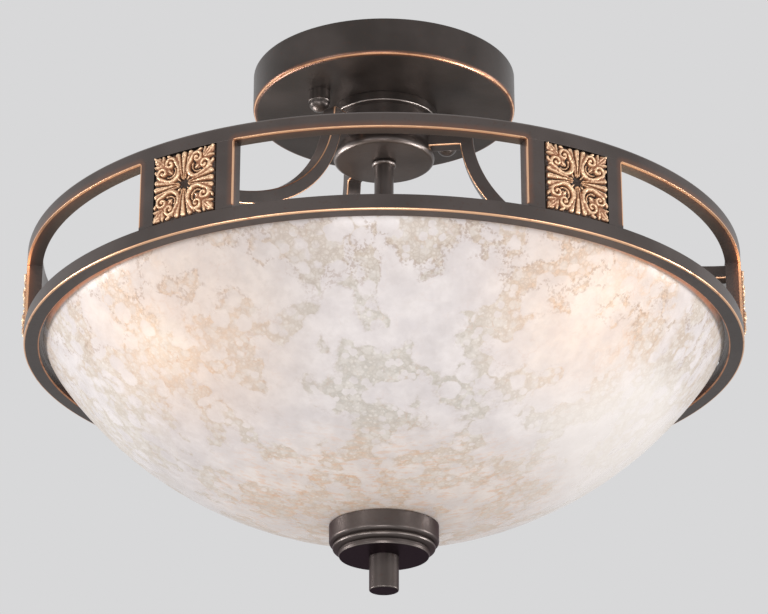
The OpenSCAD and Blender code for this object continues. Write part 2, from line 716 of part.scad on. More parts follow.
module glass_bowl() color("#eee3d8") rotate_extrude() polygon(concat(
    bowl_side(0),
    arc(rim_mid.x, rim_mid.y, glass_t / 2, rim_turn + rim_step, rim_turn + 180 - rim_step, edge_steps - 2),
    reversed(bowl_side(glass_t))));

upper_gasket_r = stop_d / 2 - 1;
gasket_bottom = sphere_z - sqrt(pow(bowl_r - glass_t, 2) - upper_gasket_r * upper_gasket_r) + gap;
stop_bottom = gasket_bottom + gasket_t;
stop_t = 2;
module upper_gasket() color("#1d1b1a") turned(tube_hole_r + gap, upper_gasket_r, gasket_bottom, stop_bottom);
module bowl_stop() color(steel) turned(tube_hole_r, stop_d / 2, stop_bottom, stop_bottom + stop_t);
module bowl_nut() color(steel) hex_nut(stop_bottom + stop_t);

// A hair's clearance under the glass
seat = 0.02;
lower_gasket_r = finial_r - finial_lip - gap;
module lower_gasket() color("#1d1b1a") rotate_extrude() polygon(concat(
    [[bowl_hole_r, cup_floor], [lower_gasket_r, cup_floor]],
    [for (i = [edge_steps:-1:0]) let (r = bowl_hole_r + (lower_gasket_r - bowl_hole_r) * i / edge_steps)
        [r, glass_z(r) - seat]]));

// Finial

lip_in = finial_r - finial_lip;
foot_r = finial_foot_d / 2;
band_bottom = cup_top - finial_band_h;
finial_edge = 0.6;
groove_in = 2.2;
groove_h = 0.6;
finial_bead_r = 1.6;
finial_bead_x = finial_r - 3.6;
finial_bead_z = band_bottom - 2.3;
foot_top = band_bottom - 4.3;
foot_lip_h = 1.2;
module finial_cup() color(bronze) rotate_extrude() polygon(concat(
    [[tube_r + fit, cup_floor], [lip_in, cup_floor], [lip_in, glass_z(lip_in) - gap], [finial_r, cup_top],
     [finial_r, band_bottom + finial_edge], [finial_r - finial_edge, band_bottom],
     [finial_r - groove_in, band_bottom - groove_h]],
    arc(finial_bead_x, finial_bead_z, finial_bead_r, 40, -70, edge_steps),
    [[foot_r + finial_edge, foot_top], [foot_r + finial_edge, cup_bottom + foot_lip_h],
     [foot_r, cup_bottom + finial_edge / 2], [foot_r - finial_edge, cup_bottom],
     [tube_r + fit, cup_bottom]]));

stem_r = stem_d / 2;
stem_bottom = cup_bottom - stem_l;
stem_bore_end = tube_end - 1;
module finial_stem() color(bronze) difference() {
    rotate_extrude() polygon([
        [0, cup_bottom], [stem_r, cup_bottom], [stem_r, stem_bottom + finial_edge],
        [stem_r - finial_edge, stem_bottom], [0, stem_bottom]]);
    translate([0, 0, stem_bore_end]) cylinder(r = tube_r + fit, h = cup_bottom - stem_bore_end + past);
}

ceiling_strip();
studs();
earth_screw();
terminal_block();
terminal_screws();
lead_live();
lead_neutral();
lead_earth();
canopy();
cap_nut_left();
cap_nut_right();
canopy_washer();
canopy_nut();
hub_collar();
hub_cup();
hub_plate();
hub_screws();
hub_nut();
central_tube();
rod_collar();
cover_tube();
arm_1();
arm_2();
arm_3();
top_rail();
bottom_rail();
posts();
tile_1();
tile_2();
tile_3();
tile_4();
tile_5();
tile_6();
lamp_block();
lamp_block_lid();
lamp_block_nut();
side_nipples();
holder_dome_right();
holder_skirt_right();
holder_insert_right();
screw_shell_right();
holder_dome_left();
holder_skirt_left();
holder_insert_left();
screw_shell_left();
bulb_right();
bulb_cap_right();
bulb_left();
bulb_cap_left();
bowl_nut();
bowl_stop();
upper_gasket();
glass_bowl();
lower_gasket();
finial_cup();
finial_stem();
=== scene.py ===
"""Looks of the ceiling light: shapes, finishes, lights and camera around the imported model."""
import json
import math

import bpy
import numpy as np
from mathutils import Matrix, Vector

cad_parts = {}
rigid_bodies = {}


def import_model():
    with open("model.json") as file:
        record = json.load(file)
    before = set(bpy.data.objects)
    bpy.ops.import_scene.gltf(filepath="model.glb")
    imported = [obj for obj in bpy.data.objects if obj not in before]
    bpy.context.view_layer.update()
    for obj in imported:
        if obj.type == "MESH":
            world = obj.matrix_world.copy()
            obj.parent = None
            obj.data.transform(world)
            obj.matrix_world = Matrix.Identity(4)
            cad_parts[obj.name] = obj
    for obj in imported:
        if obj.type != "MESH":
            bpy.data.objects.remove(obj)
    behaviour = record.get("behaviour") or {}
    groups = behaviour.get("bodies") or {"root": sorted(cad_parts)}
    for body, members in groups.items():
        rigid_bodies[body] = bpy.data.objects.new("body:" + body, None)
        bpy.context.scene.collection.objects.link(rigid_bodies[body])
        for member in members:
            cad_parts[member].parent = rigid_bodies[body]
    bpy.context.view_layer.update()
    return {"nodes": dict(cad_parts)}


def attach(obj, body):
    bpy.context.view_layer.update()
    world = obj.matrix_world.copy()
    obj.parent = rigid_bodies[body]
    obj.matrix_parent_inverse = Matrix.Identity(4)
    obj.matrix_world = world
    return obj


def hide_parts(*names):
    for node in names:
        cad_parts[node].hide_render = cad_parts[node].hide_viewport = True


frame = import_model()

MM = 0.001


# Sizes, in mm, in the light's own frame: the ceiling is z 0 and the light hangs below it

STRIP_T = 2.5
EARTH_X = -40.5
BLOCK_Y = 14.0
BLOCK_H = 12.5
CANOPY_R = 79.3
CANOPY_H = 23.4
CANOPY_WALL = 1.2
STUD_DIRECTION = -51.4
STUD_R = 49.0
TUBE_HOLE = 5.1
SLEEVE_R = 5.8
SLEEVE_LOW = -156.0
COLLAR_R = 31.9
HUB_R = 27.8
HUB_TOP = -29.0
HUB_BOTTOM = -56.0
HUB_WALL = 1.5
HUB_FLARE_H = 7.5
HUB_EDGE = 2.6
ROD_RING_H = 3.0
LEG_START = 14.0
LEG_TOP = -40.0
LEG_BOTTOM = -48.0
SWEEP_START = 54.0
SWEEP_FALL = 96.0
BAR_W = 9.0
BAR_CORNER = 1.4
RING_OUT = 210.0
RING_IN = 201.0
RING_TOP = -126.7
WINDOW_TOP = -135.2
WINDOW_BOTTOM = -174.6
RING_BOTTOM = -183.4
POST_HALF = 8.2
POST_DIRECTIONS = [30, 90, 150, 210, 270, 330]
ARM_DIRECTIONS = [83.5, 203.5, 323.5]
TILE_W = 38.5
TILE_Z = (WINDOW_TOP + WINDOW_BOTTOM) / 2
POCKET_W = 40.1
POCKET_FLOOR = math.sqrt(RING_OUT ** 2 - (POCKET_W / 2) ** 2) - 2.6
LAMP_Z = -168.0
LAMP_DIRECTION = 77
BULB_START = 77.0
BULB_R = 30.0
BULB_MIDDLE = 48.0
BOWL_BALL = 236.78
BOWL_MIDDLE = -51.218
BOWL_HOLE = 6.5
GLASS_WALL = 4.0
SHOULDER_BALL = 60.0
SHOULDER_MIDDLE = (143.28, -154.77)
SHOULDER_START = (191.9, -189.9)
RIM = (198.6, -178.0)
CUP_R = 31.5
CUP_TOP = -286.2
CUP_BOTTOM = -304.8
STEM_R = 8.5
STEM_LOW = -325.0


# Directions on the light, in degrees from the front and positive to the right

def outward(direction):
    a = math.radians(direction)
    return np.array([math.sin(a), -math.cos(a), 0.0])


def sideways(direction):
    a = math.radians(direction)
    return np.array([math.cos(a), math.sin(a), 0.0])


UP = np.array([0.0, 0.0, 1.0])
LIGHT_AXIS = (np.zeros(3), np.eye(3))


def lamp_axis(side):
    """Origin and frame of a lamp, whose third direction points out from the lamp block."""
    direction = LAMP_DIRECTION + (0 if side == "right" else 180)
    way, across = outward(direction), sideways(direction)
    return UP * LAMP_Z, np.stack([across, np.cross(way, across), way])


def stud_place(sign):
    return outward(STUD_DIRECTION) * STUD_R * sign


# Node trees, written as expressions

def operator(operation, reflected=False):
    """A method that joins a socket and another value by one maths node."""
    def method(self, other):
        pair = (other, self) if reflected else (self, other)
        return self.nodes.maths(operation, *pair)
    return method


class Value:
    """A socket, with the operators that its maths needs."""

    def __init__(self, nodes, socket):
        self.nodes = nodes
        self.socket = socket

    def __abs__(self):
        return self.nodes.maths("ABSOLUTE", self)

    __add__, __radd__ = operator("ADD"), operator("ADD", True)
    __sub__, __rsub__ = operator("SUBTRACT"), operator("SUBTRACT", True)
    __mul__, __rmul__ = operator("MULTIPLY"), operator("MULTIPLY", True)
    __pow__ = operator("POWER")


class Nodes:
    """The nodes of one tree. Each is made by its type, its settings and then its inputs."""

    def node(self, kind, settings=None, inputs=None, output=0):
        made = self.tree.nodes.new(kind)
        for name, value in (settings or {}).items():
            setattr(made, name, value)
        for name, value in (inputs or {}).items():
            if isinstance(value, Value):
                self.tree.links.new(value.socket, made.inputs[name])
            else:
                made.inputs[name].default_value = value
        return Value(self, made.outputs[output]) if len(made.outputs) else made

    def maths(self, operation, *values):
        return self.node("ShaderNodeMath", {"operation": operation}, dict(enumerate(values)))

    def highest(self, *values):
        result = values[0]
        for value in values[1:]:
            result = self.maths("MAXIMUM", result, value)
        return result

    def fade(self, value, start, end):
        """0 at start and 1 at end, smooth between them."""
        return self.node("ShaderNodeMapRange", {"interpolation_type": "SMOOTHSTEP"}, {
            "Value": value, "From Min": start, "From Max": end})


class Paint(Nodes):
    """One finish, with its patterns in mm of the piece's own place."""

    def __init__(self, name):
        self.material = bpy.data.materials.new(name)
        self.material.use_nodes = True
        self.tree = self.material.node_tree
        self.tree.nodes.clear()
        self.place = self.vector("SCALE", self.node("ShaderNodeTexCoord", output="Object"), Scale=1 / MM)
        self.x, self.y, self.z = self.parts(self.place)

    def vector(self, operation, *values, **named):
        inputs = dict(enumerate(values))
        inputs.update(named)
        return self.node("ShaderNodeVectorMath", {"operation": operation}, inputs)

    def parts(self, vector):
        made = self.tree.nodes.new("ShaderNodeSeparateXYZ")
        self.tree.links.new(vector.socket, made.inputs[0])
        return [Value(self, socket) for socket in made.outputs]

    def joined(self, x, y, z):
        return self.node("ShaderNodeCombineXYZ", None, {0: x, 1: y, 2: z})

    def mix(self, mask, a, b):
        return self.node("ShaderNodeMix", {"data_type": "RGBA"}, {0: mask, 6: a, 7: b}, 2)

    def times(self, mask, a, b):
        kind = {"data_type": "RGBA", "blend_type": "MULTIPLY"}
        return self.node("ShaderNodeMix", kind, {0: mask, 6: a, 7: b}, 2)

    def laid(self, colour, *layers):
        """The colour with layers of (mask, red, green, blue) laid over it in turn."""
        for mask, *shade in layers:
            colour = self.mix(mask, colour, tone(*shade))
        return colour

    def noise(self, size, detail=3.0, rough=0.5, at=None, twist=0.0):
        """Cloudy noise from 0 to 1, with features about size mm apart."""
        return self.node("ShaderNodeTexNoise", None, {
            "Vector": at or self.place, "Scale": 1 / size, "Detail": detail, "Roughness": rough,
            "Distortion": twist})

    def cells(self, size, feature="F1", at=None, output=0):
        """Cells about size mm wide: how far each point is from its cell's middle, or another feature."""
        return self.node("ShaderNodeTexVoronoi", {"feature": feature}, {
            "Vector": at or self.place, "Scale": 1 / size}, output)

    def shifted(self, amount, size, detail=2.0):
        """The place, moved about by noise of that size."""
        cloud = self.node("ShaderNodeTexNoise", None, {
            "Vector": self.place, "Scale": 1 / size, "Detail": detail}, "Color")
        moved = self.vector("SUBTRACT", cloud, (0.5, 0.5, 0.5))
        return self.vector("ADD", self.place, self.vector("SCALE", moved, Scale=amount))

    def from_axis(self, centre=(0, 0)):
        return ((self.x - centre[0]) ** 2 + (self.y - centre[1]) ** 2) ** 0.5

    def near(self, radius, height, reach, centre=(0, 0)):
        """1 on the circle at that radius and height, down to 0 at reach mm from it."""
        away = ((self.from_axis(centre) - radius) ** 2 + (self.z - height) ** 2) ** 0.5
        return self.fade(away, reach, reach * 0.5)

    def distance_of(self, place, spot):
        return self.node("ShaderNodeVectorMath", {"operation": "DISTANCE"}, {0: place, 1: spot}, "Value")

    def attribute(self, name):
        return self.node("ShaderNodeAttribute", {"attribute_name": name}, output="Fac")

    def bump(self, height, depth):
        """A normal from a height of 0 to 1 that stands for depth mm."""
        return self.node("ShaderNodeBump", None, {"Strength": 1.0, "Distance": depth * MM, "Height": height})

    def surface(self, colour, rough, normal=None, **more):
        inputs = {"Base Color": colour, "Roughness": rough}
        inputs.update({name.replace("_", " "): value for name, value in more.items()})
        if normal:
            inputs["Normal"] = normal
        shader = self.node("ShaderNodeBsdfPrincipled", None, inputs)
        self.node("ShaderNodeOutputMaterial", None, {"Surface": shader})
        return self.material


def tone(red, green, blue):
    """A colour written as it looks on a screen, from 0 to 255."""
    def straight(v):
        v = v / 255
        return v / 12.92 if v <= 0.04045 else ((v + 0.055) / 1.055) ** 2.4
    return (straight(red), straight(green), straight(blue), 1.0)


class Shape(Nodes):
    """A geometry tree with named inputs. It ends in plain geometry with its finish set."""

    def __init__(self, name, sizes):
        self.tree = bpy.data.node_groups.new(name, "GeometryNodeTree")
        face = self.tree.interface
        for way in ("INPUT", "OUTPUT"):
            face.new_socket("Geometry", in_out=way, socket_type="NodeSocketGeometry")
        self.ids = {}
        for size, value in sizes.items():
            kind = "NodeSocketInt" if isinstance(value, int) else "NodeSocketFloat"
            socket = face.new_socket(size, in_out="INPUT", socket_type=kind)
            socket.default_value = value
            self.ids[size] = socket.identifier
        self.given = self.tree.nodes.new("NodeGroupInput")

    def size(self, name):
        return Value(self, self.given.outputs[name])

    def ends(self, geometry):
        real = self.node("GeometryNodeRealizeInstances", None, {0: geometry})
        painted = self.node("GeometryNodeSetMaterial", None, {"Geometry": real})
        self.node("NodeGroupOutput", None, {0: painted})
        return self

    def makes(self, name, start, finish, **sizes):
        """A plain mesh from the tree, begun from a start mesh."""
        tree = self.tree.copy()
        for node in tree.nodes:
            if node.bl_idname == "GeometryNodeSetMaterial":
                node.inputs["Material"].default_value = finish
        piece = shown(name, start)
        modifier = piece.modifiers.new(name, "NODES")
        modifier.node_group = tree
        for size, value in sizes.items():
            modifier[self.ids[size]] = value
        settle(piece)
        return piece


def shown(name, data):
    """A new object in the scene."""
    thing = bpy.data.objects.new(name, data)
    bpy.context.scene.collection.objects.link(thing)
    return thing


def settle(piece):
    """Turns a piece's live modifiers into its mesh, with every face pointing out."""
    now = bpy.context.evaluated_depsgraph_get()
    mesh = bpy.data.meshes.new_from_object(piece.evaluated_get(now))
    piece.modifiers.clear()
    piece.data = mesh
    corners = np.zeros(len(mesh.vertices) * 3)
    mesh.vertices.foreach_get("co", corners)
    corners = corners.reshape(-1, 3)
    mesh.calc_loop_triangles()
    thirds = np.zeros(len(mesh.loop_triangles) * 3, int)
    mesh.loop_triangles.foreach_get("vertices", thirds)
    a, b, c = corners[thirds.reshape(-1, 3)].transpose(1, 0, 2)
    if np.einsum("ij,ij->i", a, np.cross(b, c)).sum() < 0:
        mesh.flip_normals()


# Meshes

def plain_mesh(name, points, faces, edges=()):
    mesh = bpy.data.meshes.new(name)
    mesh.from_pydata([tuple(float(v) * MM for v in p) for p in points], list(edges), faces)
    return mesh


def solid(name, points, faces, finish, flat_over=40, **values):
    """A piece from points in mm. Edges that turn more than flat_over degrees stay crisp."""
    mesh = plain_mesh(name, points, faces)
    mesh.polygons.foreach_set("use_smooth", [True] * len(mesh.polygons))
    mesh.set_sharp_from_angle(angle=math.radians(flat_over))
    for kind, numbers in values.items():
        mesh.attributes.new(kind, "FLOAT", "POINT").data.foreach_set("value", np.asarray(numbers, np.float32))
    mesh.materials.append(finish)
    return shown(name, mesh)


def arc(x, y, radius, start, end, steps):
    angles = np.radians(np.linspace(start, end, steps + 1))
    return [(x + radius * math.cos(a), y + radius * math.sin(a)) for a in angles]


def eased(corners, support=0.25):
    """A closed outline from (x, y, rounding) corners, with points that hold the flats flat."""
    outline = []
    count = len(corners)
    for i, corner in enumerate(corners):
        here = np.array(corner[:2], float)
        rounding = corner[2] if len(corner) > 2 else 0
        if rounding == 0:
            outline.append(tuple(here))
            continue
        before = np.array(corners[i - 1][:2], float) - here
        after = np.array(corners[(i + 1) % count][:2], float) - here
        to_before, to_after = before / np.linalg.norm(before), after / np.linalg.norm(after)
        half = math.acos(np.clip(to_before @ to_after, -1, 1)) / 2
        along = rounding / math.tan(half)
        inward = to_before + to_after
        middle = here + inward / np.linalg.norm(inward) * rounding / math.sin(half)
        start, end = here + to_before * along, here + to_after * along
        steps = max(3, min(12, int(4 + rounding * 2)))
        outline.append(tuple(start + to_before * support))
        a = math.atan2(*(start - middle)[::-1])
        turn = (math.atan2(*(end - middle)[::-1]) - a + math.pi) % (2 * math.pi) - math.pi
        for k in range(steps + 1):
            angle = a + turn * k / steps
            outline.append(tuple(middle + rounding * np.array([math.cos(angle), math.sin(angle)])))
        outline.append(tuple(end + to_after * support))
    return outline


def turned(name, outline, finish, steps, body, node, axis=LIGHT_AXIS):
    """A piece turned from a closed outline of (radius, height) points, closed at its poles."""
    origin, way = axis
    outline = [p for i, p in enumerate(outline) if math.dist(p, outline[i - 1]) > 1e-6]
    area = sum(a[0] * b[1] - b[0] * a[1] for a, b in zip(outline, outline[1:] + outline[:1]))
    if area < 0:
        outline = outline[::-1]
    angles = np.linspace(0, 2 * math.pi, steps, endpoint=False)
    points, rows = [], []
    for radius, height in outline:
        if radius < 1e-6:
            rows.append([len(points)] * steps)
            points.append(origin + way.T @ np.array([0, 0, height]))
        else:
            rows.append(list(range(len(points), len(points) + steps)))
            spun = np.stack([radius * np.cos(angles), radius * np.sin(angles), np.full(steps, height)])
            points.extend(origin + (way.T @ spun).T)
    faces = []
    for low, high in zip(rows, rows[1:] + rows[:1]):
        for i in range(steps):
            j = (i + 1) % steps
            face = list(dict.fromkeys([low[i], low[j], high[j], high[i]]))
            if len(face) > 2:
                faces.append(face)
    dress(solid(name, points, faces, finish), body, node)


def dress(piece, body, node):
    """The piece stands for that node, whose own part is hidden, and moves with its body."""
    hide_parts(node)
    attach(piece, body)


# Finishes

BRONZE_DARK = tone(68, 62, 59)
BRONZE_LIGHT = tone(95, 87, 84)
BRONZE_RED = tone(88, 66, 58)
COPPER = tone(238, 190, 152)
COPPER_DEEP = tone(170, 106, 72)
# Colour of the pale edge lines: partly wear, partly painted highlight
EDGE_WEAR_AND_SHEEN = tone(150, 142, 138)


def bronze_on(paint, rubbed=None, halo=None, wear_and_sheen=None, pale=0.35, shadow=None):
    """Satin bronze: copper where rubbed is 1, pale edge lines that are partly wear and partly painted
    highlight, and painted shade where shadow is.
    """
    cloud = paint.noise(34, 3, 0.5)
    speck = paint.noise(2.6, 3, 0.6)
    grain = paint.noise(0.5, 2, 0.5)
    colour = paint.mix(paint.fade(cloud, 0.25, 0.75) * 0.5 + pale, BRONZE_DARK, BRONZE_LIGHT)
    colour = paint.mix(paint.fade(speck, 0.55, 0.75) * 0.35, colour, BRONZE_RED)
    rough = 0.3 + cloud * 0.12 + (speck - 0.5) * 0.08
    relief = speck * 0.7 + grain * 0.3
    # Pale edge lines, partly wear and partly painted highlight
    if wear_and_sheen:
        colour = paint.mix(wear_and_sheen * (0.5 + speck * 0.6), colour, EDGE_WEAR_AND_SHEEN)
    if rubbed:
        worn = paint.fade(paint.noise(9, 2, 0.5), 0.2, 0.5)
        bare = rubbed * (worn * 0.45 + 0.55)
        if halo:
            colour = paint.mix(halo * (speck * 0.6 + 0.3), colour, COPPER_DEEP)
        colour = paint.mix(paint.fade(bare, 0.05, 0.45), colour, COPPER_DEEP)
        colour = paint.mix(paint.fade(bare, 0.35, 0.75), colour, COPPER)
        relief = relief * (1 - bare * 0.9)
        rough = rough - bare * 0.04
    # Painted shade on the underside; pieces with it also get a dimmer tint on their reflections
    if shadow:
        colour = paint.mix(shadow * 0.75, colour, tone(34, 26, 32))
    glance = tone(168, 158, 166) if shadow else tone(255, 255, 255)
    return paint.surface(colour, rough, paint.bump(relief, 0.05), Metallic=0.88, Specular_Tint=glance)


def bronze(name, *lines, worn=(), centre=(0, 0), pale=0.35, foot=None):
    """Bronze with rubbed circles and worn edges, each a (radius, height, reach, strength). The worn edges are
    pale lines, partly wear and partly painted highlight.

    Its underside at the height of foot, where there is one, is painted dark as shade.
    """
    paint = Paint(name)

    def marks(circles, wider=1.0):
        found = [paint.near(r, z, reach * wider, centre) * strength for r, z, reach, strength in circles]
        return paint.highest(*found) if found else None

    halo = marks(lines, 2.4)
    # Painted shade below the foot's height
    painted_shade_under = paint.fade(paint.z, foot + 0.25, foot + 0.1) if foot else None
    # marks(worn) are the pale edge lines, partly wear and partly painted highlight
    return bronze_on(paint, marks(lines), halo * 0.35 if halo else None, marks(worn), pale, painted_shade_under)


def ring_bronze():
    """The ring's bronze, rubbed on its outer edges and round the tops and sides of its windows."""
    paint = Paint("bronze_ring")
    radius = paint.from_axis()
    direction = paint.maths("ARCTAN2", paint.x, 0 - paint.y)
    turn = paint.maths("PINGPONG", direction + math.radians(360), math.radians(30))
    side = turn * RING_OUT
    half_w = math.radians(30 - POST_HALF) * RING_OUT
    half_h = (WINDOW_TOP - WINDOW_BOTTOM) / 2
    rounding = 1.6
    over = paint.highest(abs(paint.z - TILE_Z) - (half_h - rounding), -100)
    out = side - (half_w - rounding)
    corner = (paint.highest(out, 0) ** 2 + paint.highest(over, 0) ** 2) ** 0.5
    inside = paint.maths("MINIMUM", paint.highest(out, over), 0)
    away = abs(corner + inside - rounding)
    outer = paint.fade(radius, RING_OUT - 2.0, RING_OUT - 1.0)
    above = paint.fade(paint.z, WINDOW_BOTTOM + 0.6, WINDOW_BOTTOM + 2.6)
    window = paint.fade(away, 0.8, 0.35) * outer * above
    spread = paint.fade(away, 4.5, 0.8) * paint.fade(radius, RING_OUT - 6, RING_OUT - 1) * above * 0.35
    # Pale line on the top outer edge: partly wear, partly painted highlight
    top = paint.near(RING_OUT - 0.3, RING_TOP - 0.3, 0.9) * 0.5
    low = paint.near(RING_OUT - 0.3, RING_BOTTOM + 0.3, 0.95) * 0.9
    low_in = paint.near(RING_IN + 0.3, RING_BOTTOM + 0.3, 0.75) * 0.55
    return bronze_on(paint, paint.highest(window, low, low_in), spread, top, 0.62)


def arm_bronze():
    """The arms' bronze, rubbed where the mesh says so."""
    paint = Paint("bronze_arms")
    rub = paint.attribute("rub")
    return bronze_on(paint, paint.fade(rub, 0.3, 0.9), rub * 0.3)


def relief_copper():
    """Bright copper crests over dark brown hollows."""
    paint = Paint("copper_relief")
    height, crest = paint.attribute("height"), paint.attribute("crest")
    speck = paint.noise(1.4, 4, 0.65)
    cloud = paint.noise(9, 3, 0.6)
    bright = paint.fade(crest + (speck - 0.5) * 0.5 + (cloud - 0.5) * 0.4, 0.38, 0.7)
    warm = paint.fade(height + (speck - 0.5) * 0.3, 0.1, 0.5)
    colour = paint.mix(warm, tone(52, 38, 30), tone(152, 102, 72))
    colour = paint.mix(bright, colour, tone(242, 204, 166))
    return paint.surface(
        colour, 0.5 - bright * 0.16, paint.bump(speck, 0.12), Metallic=bright * 0.35 + 0.2)


def blotches(paint):
    """1 on smooth blotches and 0 on granular fields, with the noise that sets them out."""
    field = paint.noise(30, 2.5, 0.55, at=paint.shifted(12, 15, 4))
    field = field + (paint.noise(3.2, 2, 0.6) - 0.5) * 0.05
    broad = paint.noise(22, 2)
    bubbly = paint.fade(abs(paint.x), 105, 150) * paint.fade(paint.noise(26, 2), 0.4, 0.55)
    large = paint.fade(field, 0.478, 0.505) * (1 - bubbly * 0.85)
    rounded = paint.fade(paint.cells(15, at=paint.shifted(5, 6, 3)), 0.44, 0.37)
    rounded = rounded * paint.fade(broad, 0.4, 0.5)
    small = paint.fade(paint.cells(6.4, at=paint.shifted(2.4, 3, 2)), 0.42, 0.33)
    small = small * paint.fade(broad, 0.62, 0.5)
    return paint.highest(large, rounded, small * 0.85), field, broad


def granular(paint, ground, broad, top):
    """Grains and beads in a net of fine dark lines, over a ground colour."""
    at = paint.shifted(1.8, 2.6)
    grain = paint.cells(2.3, at=at)
    tint, pale, _ = paint.parts(paint.cells(2.3, at=at, output="Color"))
    beads = paint.fade(grain, 0.5, 0.2) * paint.fade(pale, 0.45, 0.85)
    pebble = paint.fade(paint.cells(6.2, at=paint.shifted(3.5, 4, 3)), 0.52, 0.3)
    fine = paint.fade(paint.cells(2.3, "DISTANCE_TO_EDGE", at=at), 0.2, 0.02)
    coarse = paint.fade(paint.cells(3.9, "DISTANCE_TO_EDGE", at=at), 0.12, 0.01)
    net = paint.highest(fine * 0.7, coarse * paint.fade(broad, 0.45, 0.6))
    colour = paint.laid(
        ground, (tint * 0.45, 234, 225, 216), (net * (0.26 + top * 0.2), 176, 158, 142),
        (pebble * 0.5, 232, 225, 219), (beads * 0.5, 242, 234, 227))
    return colour, grain


def lamp_glow(paint, mirrored, rim, inner):
    """The lamps' warm light in the glass, with the rim's edge and the inside lit as well."""
    lit = paint.highest(
        *[paint.fade(paint.distance_of(mirrored, spot), far, close) * amount
          for spot in ((-119, 117, -219), (116, 138, -204))
          for far, close, amount in ((96, 10, 0.28), (50, 4, 0.66))])
    glow = paint.mix(paint.fade(lit, 0.25, 0.8), tone(246, 176, 112), tone(255, 232, 200))
    light = paint.times(1.0, glow, paint.joined(lit, lit, lit))
    return paint.laid(light, (rim * 0.7, 244, 132, 76), (inner * 0.6, 255, 236, 214))


def mottled_glass():
    """Pale mottled glass: smooth blotches over granular fields, with fine brown lace between, painted shade,
    and painted lamp light in its colour and glow.
    """
    paint = Paint("mottled_glass")
    mirrored = paint.joined(paint.x, abs(paint.y), paint.z)
    smooth, field, broad = blotches(paint)

    # top: the upper band. Painted shade makes the ground darker and browner there; the net and lace are also
    # stronger there
    top = paint.fade(paint.z, -222, -198)
    deep = paint.fade(paint.z, -256, -280)
    middle = paint.fade(abs(paint.x + 8), 115, 40) * paint.fade(paint.z, -284, -264)
    middle = middle * paint.fade(paint.z, -188, -214)
    # Painted lamp light: the colour is warmed round the two lamps; deep adds the bottom's own warm tint
    painted_lamp_light_left = paint.fade(paint.distance_of(mirrored, (-110, 130, -205)), 95, 35)
    painted_lamp_light_right = paint.fade(paint.distance_of(mirrored, (116, 138, -200)), 85, 30)
    warm = paint.highest(painted_lamp_light_left, painted_lamp_light_right, deep * 0.8)
    inner = paint.fade(paint.distance_of(paint.place, (0, 0, BOWL_MIDDLE)), BOWL_BALL - 1.5, BOWL_BALL - 2.5)
    # Painted light: an orange glow along the rim's edge at the sides, in colour and in emission
    rim = paint.fade(paint.z, -182.2, -180.6) * paint.fade(abs(paint.x), 100, 150)
    rim = rim * paint.fade(abs(paint.y), 40, 80)

    patches = paint.fade(paint.noise(30, 3, 0.6), 0.4, 0.62)
    ground = paint.laid(
        tone(216, 207, 198), (patches, 204, 190, 172), (top * (0.3 + patches * 0.4), 208, 182, 158),
        (middle * (0.6 + patches * 0.3), 196, 193, 186), (warm * (0.5 + patches * 0.45), 242, 200, 164))
    colour, grain = granular(paint, ground, broad, top)

    cloud = paint.noise(16, 3, 0.55)
    mottle = paint.noise(6, 3, 0.6)
    # Blotches are warmer round the lamps: painted lamp light
    dull = paint.mix(warm * 0.4, tone(222, 214, 214), tone(236, 219, 204))
    cream = paint.mix(warm * 0.6, tone(240, 232, 231), tone(246, 230, 215))
    island = paint.mix(paint.fade(cloud + (mottle - 0.5) * 0.3, 0.3, 0.7), dull, cream)
    colour = paint.mix(smooth * 0.9, colour, island)

    lace = paint.fade(abs(field - 0.49), 0.04, 0.0) * paint.fade(paint.noise(1.7, 2, 0.6), 0.46, 0.6)
    vein = paint.fade(paint.cells(10, "DISTANCE_TO_EDGE", at=paint.shifted(9, 8, 4)), 0.06, 0.01)
    vein = vein * paint.fade(paint.noise(18, 2), 0.46, 0.62) * paint.fade(paint.noise(2.2, 2), 0.36, 0.6)
    # Painted shade: darker towards the top, in the middle and left of it, less on the inside; mottle adds the
    # glass's own uneven tone
    shade = paint.fade(paint.z, -232, -196) * 0.5 + paint.fade(abs(paint.x), 165, 90) * 0.5
    shade = shade + paint.fade(abs(paint.x + 80), 75, 25) * paint.fade(paint.z, -272, -245)
    shade = paint.fade(mottle, 0.4, 0.7) * 0.14 + shade * (1 - inner) * 0.21
    # Painted light: the low right is made paler
    low_right = paint.fade(paint.x, 50, 120) * paint.fade(paint.z, -205, -230)
    streak_at = paint.joined(paint.x * 0.3, paint.y, paint.z)
    streak = paint.fade(paint.noise(2.4, 3, 0.6, at=streak_at), 0.52, 0.64) * deep
    # Laid in turn: lace, veins, painted shade, painted light at the low right, streaks, and the rim's painted
    # glow
    colour = paint.laid(
        colour, (lace * (0.14 + top * 0.46), 164, 138, 120),
        (vein * (1 - smooth * 0.7) * (0.2 + warm * 0.35), 206, 158, 124), (shade, 170, 158, 152),
        (low_right * (1 - warm) * 0.6, 248, 240, 234), (streak * 0.45, 226, 178, 142),
        (rim * 0.6, 246, 176, 134))

    normal = paint.bump(grain * 0.2 * (1 - smooth) + field, 0.2)
    glow = lamp_glow(paint, mirrored, rim, inner)
    rough = 0.26 + (1 - smooth) * 0.1
    return paint.surface(colour, rough, normal, Emission_Color=glow, Emission_Strength=0.3)


